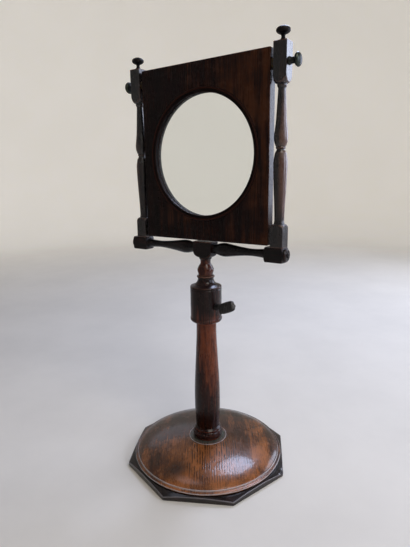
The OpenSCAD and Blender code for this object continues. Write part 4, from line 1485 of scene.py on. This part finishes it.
@dataclass
class Posts:
    """The two posts with their double vases, finials and pivot screws."""

    body: str = "head"
    post_x: float = 95.45
    half: float = 7.25
    low_z: float = 281.2
    shoulder_z: float = 300.1
    turned_z: float = 306.1
    turned_h: float = 139.2
    block_z: float = 445.3
    top_z: float = 484.2
    pivot_z: float = 465.4
    pivot_r: float = 2.65
    lower: Pairs = (
        (5.85, 0), (5.3, 0.025), (5.3, 0.06), (5.76, 0.16), (6.48, 0.26), (7.2, 0.4), (7.13, 0.47),
        (5.9, 0.525),
    )
    waist: Pairs = ((4.8, 0.538), (4.2, 0.545), (4.2, 0.552), (5.1, 0.556), (5.1, 0.565), (4.7, 0.57))
    upper: Pairs = (
        (5.47, 0.575), (6.98, 0.61), (7.2, 0.645), (6.48, 0.69), (5.55, 0.75), (4.8, 0.84), (3.9, 0.97),
    )
    flare: Pairs = ((3.7, 0.8), (2.2, 2.6), (2.0, 4.6), (2.6, 6.0))
    knob_z: float = 494.0
    knob: Pair = (7.18, 3.98)
    pin: Pairs = (
        (2.5, 103.0), (4.1, 103.0), (3.8, 103.8), (3.1, 105.2), (3.1, 108.6), (4.0, 109.2), (5.58, 109.6),
        (6.8, 111.2),
    )
    mushroom_x: float = 111.54
    mushroom: Pair = (6.78, 3.43)

    def post(self, side: Side) -> None:
        """One post: square stock cut by a single turned outline between its two blocks, bored for the pivot.

        The outer side of the turned part is made paler, a painted sheen: a bell with a flat top along it,
        added to the wear.

        Args:
            side: Which post.
        """
        corner = self.half * math.sqrt(2)
        low, high, neck = self.block_z, self.top_z, 4.9
        line = outline(
            [(corner + 1.5, self.low_z), (corner + 1.5, 299.4), (corner, self.shoulder_z)],
            arc((6.25, self.shoulder_z), (4.0, 6.0), 0, 90, 14),
            swept(self.lower, self.turned_z, self.turned_h),
            np.array(self.waist) * (1, self.turned_h) + (0, self.turned_z),
            swept(self.upper, self.turned_z, self.turned_h),
            [(neck, low - 2), (neck, low)],
            arc((neck, low + 11), (corner - neck, 11), -90, 0, 20),
            [(corner + 1.5, low + 11.7), (corner + 1.5, high)],
            step=0.35,
        )
        place = (side.value * self.post_x, 0, 0)
        inset = eased(line[:, 1], self.low_z, high, 0.6)
        grid = lathe_cut(stock(self.half, self.half, 0.55), line, inset) + place
        hole = revolved(outline([(self.pivot_r, -12), (self.pivot_r, 12)], step=3.0), 32, Along.X)
        hole = hole + (side.value * self.post_x, 0, self.pivot_z)
        shape = capped(grid)
        middle = self.turned_z + self.turned_h / 2
        # painted sheen: the outer side of each vase is made paler along a flat-topped bell
        sheen_band = np.exp(-(((shape[..., 2] - middle) / (0.47 * self.turned_h)) ** 6))
        outside = np.clip((side.value * shape[..., 0] - self.post_x) / 5.0, 0, 1)
        worn = relief(shape, 1.0) + 0.36 * sheen_band * outside
        Surface.piece(
            f"{side}_turned_post", grid, self.body, f"{side}_post", "dark_mahogany", FRAME_WOOD,
            worn=worn, cutters=(hole,),
        )

    def finial(self, side: Side) -> None:
        """The flattened knob on a post: a short flared neck and an ellipse.

        Args:
            side: Which post.
        """
        line = outline(
            [(4.1, self.top_z), (3.9, self.top_z + 0.8)],
            swept(self.flare, self.top_z),
            arc((0.02, self.knob_z), self.knob, -66, 90, 30),
            step=0.3,
        )
        grid = revolved(line, 56) + (side.value * self.post_x, 0, 0)
        Surface.piece(f"{side}_knob", grid, self.body, f"{side}_finial", "ebonised_wood", BLACK_WOOD)

    def pivot(self, side: Side) -> None:
        """The pivot screw: shank, collar, long pin and a mushroom knob.

        Args:
            side: Which post it goes through.
        """
        low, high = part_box(f"{side}_pivot_screw")
        inner = min(abs(low.x), abs(high.x)) / MM
        knob = arc((0.02, self.mushroom_x), self.mushroom, 0, 90, 20)
        line = outline([(self.pin[0][0], inner)], self.pin, knob, step=0.3)
        grid = revolved(line, 48, Along.X) + (0, 0, self.pivot_z)
        if side is Side.LEFT:
            grid = mirrored(grid)
        Surface.piece(
            f"{side}_pivot_knob", grid, f"{side}_pivot", f"{side}_pivot_screw", "dark_bronze", DARK_BRONZE,
            reach=1.0,
        )

    def build(self) -> None:
        """Makes both sides."""
        for side in Side:
            self.post(side)
            self.finial(side)
            self.pivot(side)


# ---------------------------------------------------------------------------------- the lens panel


@dataclass
class LensPanel:
    """The panel with its round opening, the two rings, and the lens between them."""

    body: str = "lens_frame"
    half_w: float = 85.0
    half_t: float = 6.25
    low_z: float = 282.9
    high_z: float = 480.3
    edge: float = 0.9
    lens_z: float = 379.7
    pivot_z: float = 465.4
    bush_r: float = 4.0
    bush_x: float = 70.9
    pocket_r: float = 70.55
    seat_r: float = 73.45
    seat_y: float = -2.25
    opening_r: float = 67.5
    bezel_r: float = 73.4
    bezel_y: float = -6.85
    sagitta: float = 3.26
    lens_r: float = 70.5
    lens_front: float = -2.2
    lens_back: float = 0.3

    def panel(self) -> None:
        """The board: each column runs from the pocket over the back, the edge and the front to the seat.

        A column's outer end lies on the board's outline with rounded corners, its inner end on the circle at
        the same angle, and points between them share that line evenly.
        """
        half = (self.half_w, (self.high_z - self.low_z) / 2)
        middle = (self.low_z + self.high_z) / 2
        rim = stock(*half, 1.0, 96, 4) + (0, middle - self.lens_z)
        angle = np.arctan2(rim[:, 1], rim[:, 0])
        circle = np.stack([np.cos(angle), np.sin(angle)], -1)
        toward = (rim - np.array([0, middle - self.lens_z])) / np.array(half)
        inward = -np.sign(toward) * (np.abs(toward) > 0.9)
        edge, back, front = self.edge, self.half_t, -self.half_t

        rows = Rows()
        rows.add(circle * self.pocket_r, back - 0.4, 0.3)
        rows.add(circle * (self.pocket_r + 0.4), back, 0.3)
        for share in np.linspace(0.02, 0.98, 16):
            line = circle * (self.pocket_r + 0.4) * (1 - share) + (rim + inward * edge) * share
            rows.add(line, back, 0.0)
        for turn in np.radians(np.linspace(90, 0, 6)):
            rows.add(rim + inward * edge * (1 - math.cos(turn)), back - edge * (1 - math.sin(turn)), 0.34)
        for depth in np.linspace(back - edge, edge + front, 9)[1:-1]:
            rows.add(rim, depth, 0.0)
        for turn in np.radians(np.linspace(0, -90, 6)):
            rows.add(rim + inward * edge * (1 - math.cos(turn)), front + edge * (1 + math.sin(turn)), 0.34)
        for share in np.linspace(0.02, 0.98, 24):
            line = (rim + inward * edge) * (1 - share) + circle * (self.seat_r + 0.3) * share
            rows.add(line, front, 0.0)
        rows.add(circle * (self.seat_r + 0.3), front, 0.1)
        # grime and painted shade: the seat's corner under the bezel is darkened
        rows.add(circle * self.seat_r, front + 0.3, -0.2)
        rows.add(circle * self.seat_r, self.seat_y, -0.3)
        rows.add(circle * self.pocket_r, self.seat_y, 0.0)
        rows.add(circle * self.pocket_r, 0.3, 0.0)

        plane, depth, worn = rows.stacked()
        grid = np.stack([plane[..., 0], depth, plane[..., 1] + self.lens_z], -1)[:, ::-1]
        bush = revolved(outline([(self.bush_r, self.bush_x), (self.bush_r, 90.0)], step=3.0), 32, Along.X)
        bush = bush + (0, 0, self.pivot_z)
        Surface.piece(
            "lens_board", grid, self.body, "lens_panel", "panel_mahogany", PANEL_WOOD,
            loop=True, worn=worn, cutters=(bush, mirrored(bush)),
        )

    def bezel(self) -> None:
        """The front ring: a rounded moulding with a line cut in its face, and a thin lip over the lens.

        Its outer crest is rubbed, so the band of radii there is more worn than its relief says.
        """
        front, seat, inner, outer = self.bezel_y, self.seat_y, self.opening_r, self.bezel_r
        line = outline(
            [(outer, -5.9), (outer, seat)],
            [(outer, seat), (inner + 0.2, seat), (inner, seat - 0.2)],
            [(inner, -5.6)],
            arc((inner + 1.25, -5.6), (1.25, 1.25), 180, 270, 8),
            [(70.3, front), (70.55, front + 0.6), (70.95, front + 0.6), (71.2, front)],
            arc((72.4, -5.85), (1.0, 1.0), 270, 360, 6),
            step=0.25,
        )[:-1]
        grid = self.outward(revolved(line[::-1], 256, Along.Y) + (0, 0, self.lens_z))
        radius = np.hypot(grid[..., 0], grid[..., 2] - self.lens_z)
        crest = (radius > 71.0) & (radius < 72.7) & (grid[..., 1] < -5.0)
        worn = relief(grid, 0.7, loop=True) + 0.45 * crest
        Surface.piece(
            "bezel_moulding", grid, self.body, "bezel_ring", "ebonised_wood", BEZEL_WOOD, loop=True, worn=worn
        )

    def back_ring(self) -> None:
        """The back ring: a flange on the panel's back with a stepped bore that holds the lens."""
        back, inner = self.half_t, self.opening_r
        line = outline(
            [(inner, 0.4), (inner, 7.4)],
            arc((inner + 0.85, 7.4), (0.85, 0.85), 180, 90, 6),
            arc((77.0, 7.25), (1.0, 1.0), 90, 0, 6),
            [(78.0, back), (70.45, back), (70.45, 0.4), (inner + 0.1, 0.35)],
            step=0.3,
        )[:-1]
        grid = self.outward(revolved(line, 256, Along.Y) + (0, 0, self.lens_z))
        Surface.piece(
            "back_moulding", grid, self.body, "retaining_ring", "ebonised_wood", BEZEL_WOOD,
            loop=True, reach=0.7,
        )

    def outward(self, grid: np.ndarray) -> np.ndarray:
        """Turns a ring's grid round if its faces point in.

        They point out if the sum of each quad's middle times its normal, a volume, is over 0.

        Args:
            grid: Points, outline by turn.

        Returns:
            The grid, or the same with its turn reversed.
        """
        a, b = grid, np.roll(grid, -1, 1)
        c, d = np.roll(b, -1, 0), np.roll(a, -1, 0)
        middle = (a + b + c + d) / 4 - (0, 0, self.lens_z)
        volume = (middle * np.cross(b - a + c - d, d - a + c - b)).sum()
        return grid if volume > 0 else grid[:, ::-1]

    def lens(self) -> None:
        """The lens: each face rises by sagitta times (1 - r squared), with a narrow ground edge between."""
        share = np.linspace(0.012, 1, 64)
        face = np.column_stack([self.lens_r * share, self.sagitta * (1 - share**2)])
        line = np.vstack([face * (1, -1) + (0, self.lens_front), face[::-1] + (0, self.lens_back)])
        grid = revolved(line, 192, Along.Y) + (0, 0, self.lens_z)
        piece = Surface.mesh("clear_lens", grid, np.zeros(grid.shape[:2]), False)
        piece.data.materials.append(GLASS.material())
        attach(piece, self.body)
        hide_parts("lens")
        LOG.info("clear_lens: %d faces on %s", len(piece.data.polygons), self.body)

    def build(self) -> None:
        """Makes the four."""
        self.panel()
        self.bezel()
        self.back_ring()
        self.lens()


@dataclass
class Fittings:
    """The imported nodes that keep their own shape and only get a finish."""

    finishes: tuple[tuple[Finish, tuple[str, ...]], ...] = (
        (IRON, ("plinth_screws", "column_screw", "column_washer")),
        (PAD_WOOD, ("clamp_pad",)),
        (BRASS, ("left_washer", "right_washer", "left_bush", "right_bush", "ring_screws")),
    )

    def build(self) -> None:
        """Gives each node its finish."""
        for finish, names in self.finishes:
            for name in names:
                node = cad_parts[name]
                node.data.materials.clear()
                node.data.materials.append(finish.material())
                LOG.info("%s keeps its shape, in %s", name, finish.name)


# -------------------------------------------------------------------------------------- the studio


@dataclass(frozen=True)
class Lamp:
    """An oval soft lamp that faces a point of the object.

    Attributes:
        name: Name of the lamp.
        place: Its middle.
        size: Its width and height.
        watts: Its power.
        aim: The point that it faces.
        colour: Its display colour, by default the bluish light of a window.
    """

    name: str
    place: Point
    size: Pair
    watts: float
    aim: Point
    colour: Colour = (222, 231, 255)

    def build(self) -> None:
        """Hangs the lamp and turns it to face its aim."""
        data = bpy.data.lights.new(self.name, "AREA")
        data.shape, data.size, data.size_y = "ELLIPSE", self.size[0] * MM, self.size[1] * MM
        data.energy, data.color = self.watts, linear(self.colour)[:3]
        lamp = bpy.data.objects.new(self.name, data)
        lamp.visible_camera = False
        bpy.context.scene.collection.objects.link(lamp)
        place = Vector(self.place)
        turn = (place - Vector(self.aim)).normalized().to_track_quat("Z", "Y")
        lamp.matrix_world = Matrix.Translation(place * MM) @ turn.to_matrix().to_4x4()


@dataclass
class Studio:
    """Camera, pale floor with a swept backdrop, and soft lamps."""

    place: Point = (295.2, -427.0, 355.6)
    yaw: float = 34.75
    pitch: float = 12.36
    roll: float = -0.81
    lens: float = 28.85
    sensor: float = 36.0
    floor_r: float = 1900.0
    sweep_r: float = 700.0
    wall_h: float = 2600.0
    pale: Colour = (219, 214, 205)
    wall_glow: float = 0.62
    wall_shine: float = 0.18
    room: Colour = (214, 220, 228)
    room_light: float = 0.1
    lamps: tuple[Lamp, ...] = (
        Lamp("high_window", (-146, 819, 1217), (470, 470), 8.5, (40, -10, 60), (206, 220, 255)),
        Lamp("side_window", (680, 1246, 640), (950, 900), 11.5, (60, 0, 300)),
        Lamp("right_window", (1230, 260, 600), (700, 760), 7.0, (0, 0, 300)),
        Lamp("left_window", (-1005, 843, 727), (760, 300), 0.35, (0, 0, 20)),
        Lamp("ceiling", (-380, 110, 1420), (520, 420), 0.8, (0, 0, 20)),
        Lamp("front_fill", (900, -450, 1380), (800, 800), 10.0, (0, 0, 220), (255, 248, 238)),
    )

    def camera(self) -> None:
        """The photograph's view: the look direction from yaw and pitch, then a roll about it."""
        yaw, pitch, roll = (math.radians(a) for a in (self.yaw, self.pitch, self.roll))
        level = (-math.sin(yaw) * math.cos(pitch), math.cos(yaw) * math.cos(pitch))
        ahead = Vector((*level, -math.sin(pitch)))
        right = Vector((math.cos(yaw), math.sin(yaw), 0.0))
        up = right.cross(ahead)
        side = right * math.cos(roll) + up * math.sin(roll)
        head = up * math.cos(roll) - right * math.sin(roll)
        turn = Matrix((side, head, -ahead)).transposed().to_4x4()
        data = bpy.data.cameras.new("photo_view")
        data.sensor_fit, data.lens = "AUTO", self.lens
        data.sensor_width = data.sensor_height = self.sensor
        data.clip_start, data.clip_end = 0.01, 20.0
        view = bpy.data.objects.new("photo_view", data)
        bpy.context.scene.collection.objects.link(view)
        view.matrix_world = Matrix.Translation(Vector(self.place) * MM) @ turn
        bpy.context.scene.camera = view

    def floor(self) -> None:
        """A round floor that rises at its rim in a quarter circle into a wall all round."""
        flat = np.column_stack([np.linspace(4, self.floor_r, 40), np.zeros(40)])
        sweep = arc((self.floor_r, self.sweep_r), (self.sweep_r, self.sweep_r), -90, 0, 24)
        line = np.vstack([flat, sweep, [(self.floor_r + self.sweep_r, self.wall_h)]]) - (0, 0.02)
        grid = revolved(line, 128)[:, ::-1]
        stage = Surface.mesh("studio_floor", grid, np.zeros(grid.shape[:2]), False)
        stage.data.materials.append(self.backdrop())
        stage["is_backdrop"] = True

    def backdrop(self) -> bpy.types.Material:
        """The stage's material: matt and pale, with an emission of its own that only some rays see.

        The wall glows for camera rays and rays through glass, more the further it is from the object. In
        reflections it glows less, and only where it lies ahead of the photograph's view.

        Returns:
            The material.
        """
        bench = Bench("pale_floor")
        cloud = bench.noise(bench.measured(240.0), 5, 0.6)
        dimmed = linear(tuple(0.965 * c for c in self.pale))
        bench.shade("Base Color", bench.blend(bench.between(cloud, 0.3, 0.7), linear(self.pale), dimmed))
        bench.shade("Roughness", 0.85)
        bench.shade("Specular IOR Level", 0.1)
        away = bench.gauge("LENGTH", bench.place)
        seen = bench.add("ShaderNodeLightPath").outputs
        looks = bench.maths("MAXIMUM", seen["Is Camera Ray"], seen["Is Transmission Ray"])
        bench.shade("Emission Color", linear(self.pale))
        far = bench.between(away, 0.5, 2.5, 0.0, self.wall_glow)
        yaw = math.radians(self.yaw)
        ahead = bench.gauge("DOT_PRODUCT", bench.place, (-math.sin(yaw), math.cos(yaw), 0))
        lit = bench.between(ahead, 0.2, 2.4, 0.04, self.wall_shine)
        mirrors = bench.times(seen["Is Glossy Ray"], bench.less(1.0, looks))
        bench.shade("Emission Strength", bench.plus(bench.times(looks, far), bench.times(mirrors, lit)))
        return bench.made

    def world(self) -> None:
        """The faint even light of the room."""
        world = bpy.data.worlds.new("soft_room")
        world.use_nodes = True
        shade = world.node_tree.nodes["Background"]
        shade.inputs["Color"].default_value = linear(self.room)
        shade.inputs["Strength"].default_value = self.room_light
        bpy.context.scene.world = world

    def build(self) -> None:
        """Sets the view and the light."""
        self.camera()
        self.floor()
        self.world()
        for lamp in self.lamps:
            lamp.build()
        bpy.context.scene.view_settings.view_transform = "Standard"


def write_sizes() -> None:
    """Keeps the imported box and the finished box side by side."""
    boxes = {"frame": [list(c) for c in FRAME_BOUNDS], "visual": [list(c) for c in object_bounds()]}
    LOG.info("boxes: %s", boxes)


def main() -> None:
    """Builds the studio and each sub-assembly in order."""
    logging.basicConfig(level=logging.INFO, format="%(message)s")
    for part in (Studio(), Foot(), Column(), Clamp(), Crossbar(), Posts(), LensPanel(), Fittings()):
        LOG.info("building %s", type(part).__name__)
        part.build()
    write_sizes()


if __name__ == "__main__":
    main()
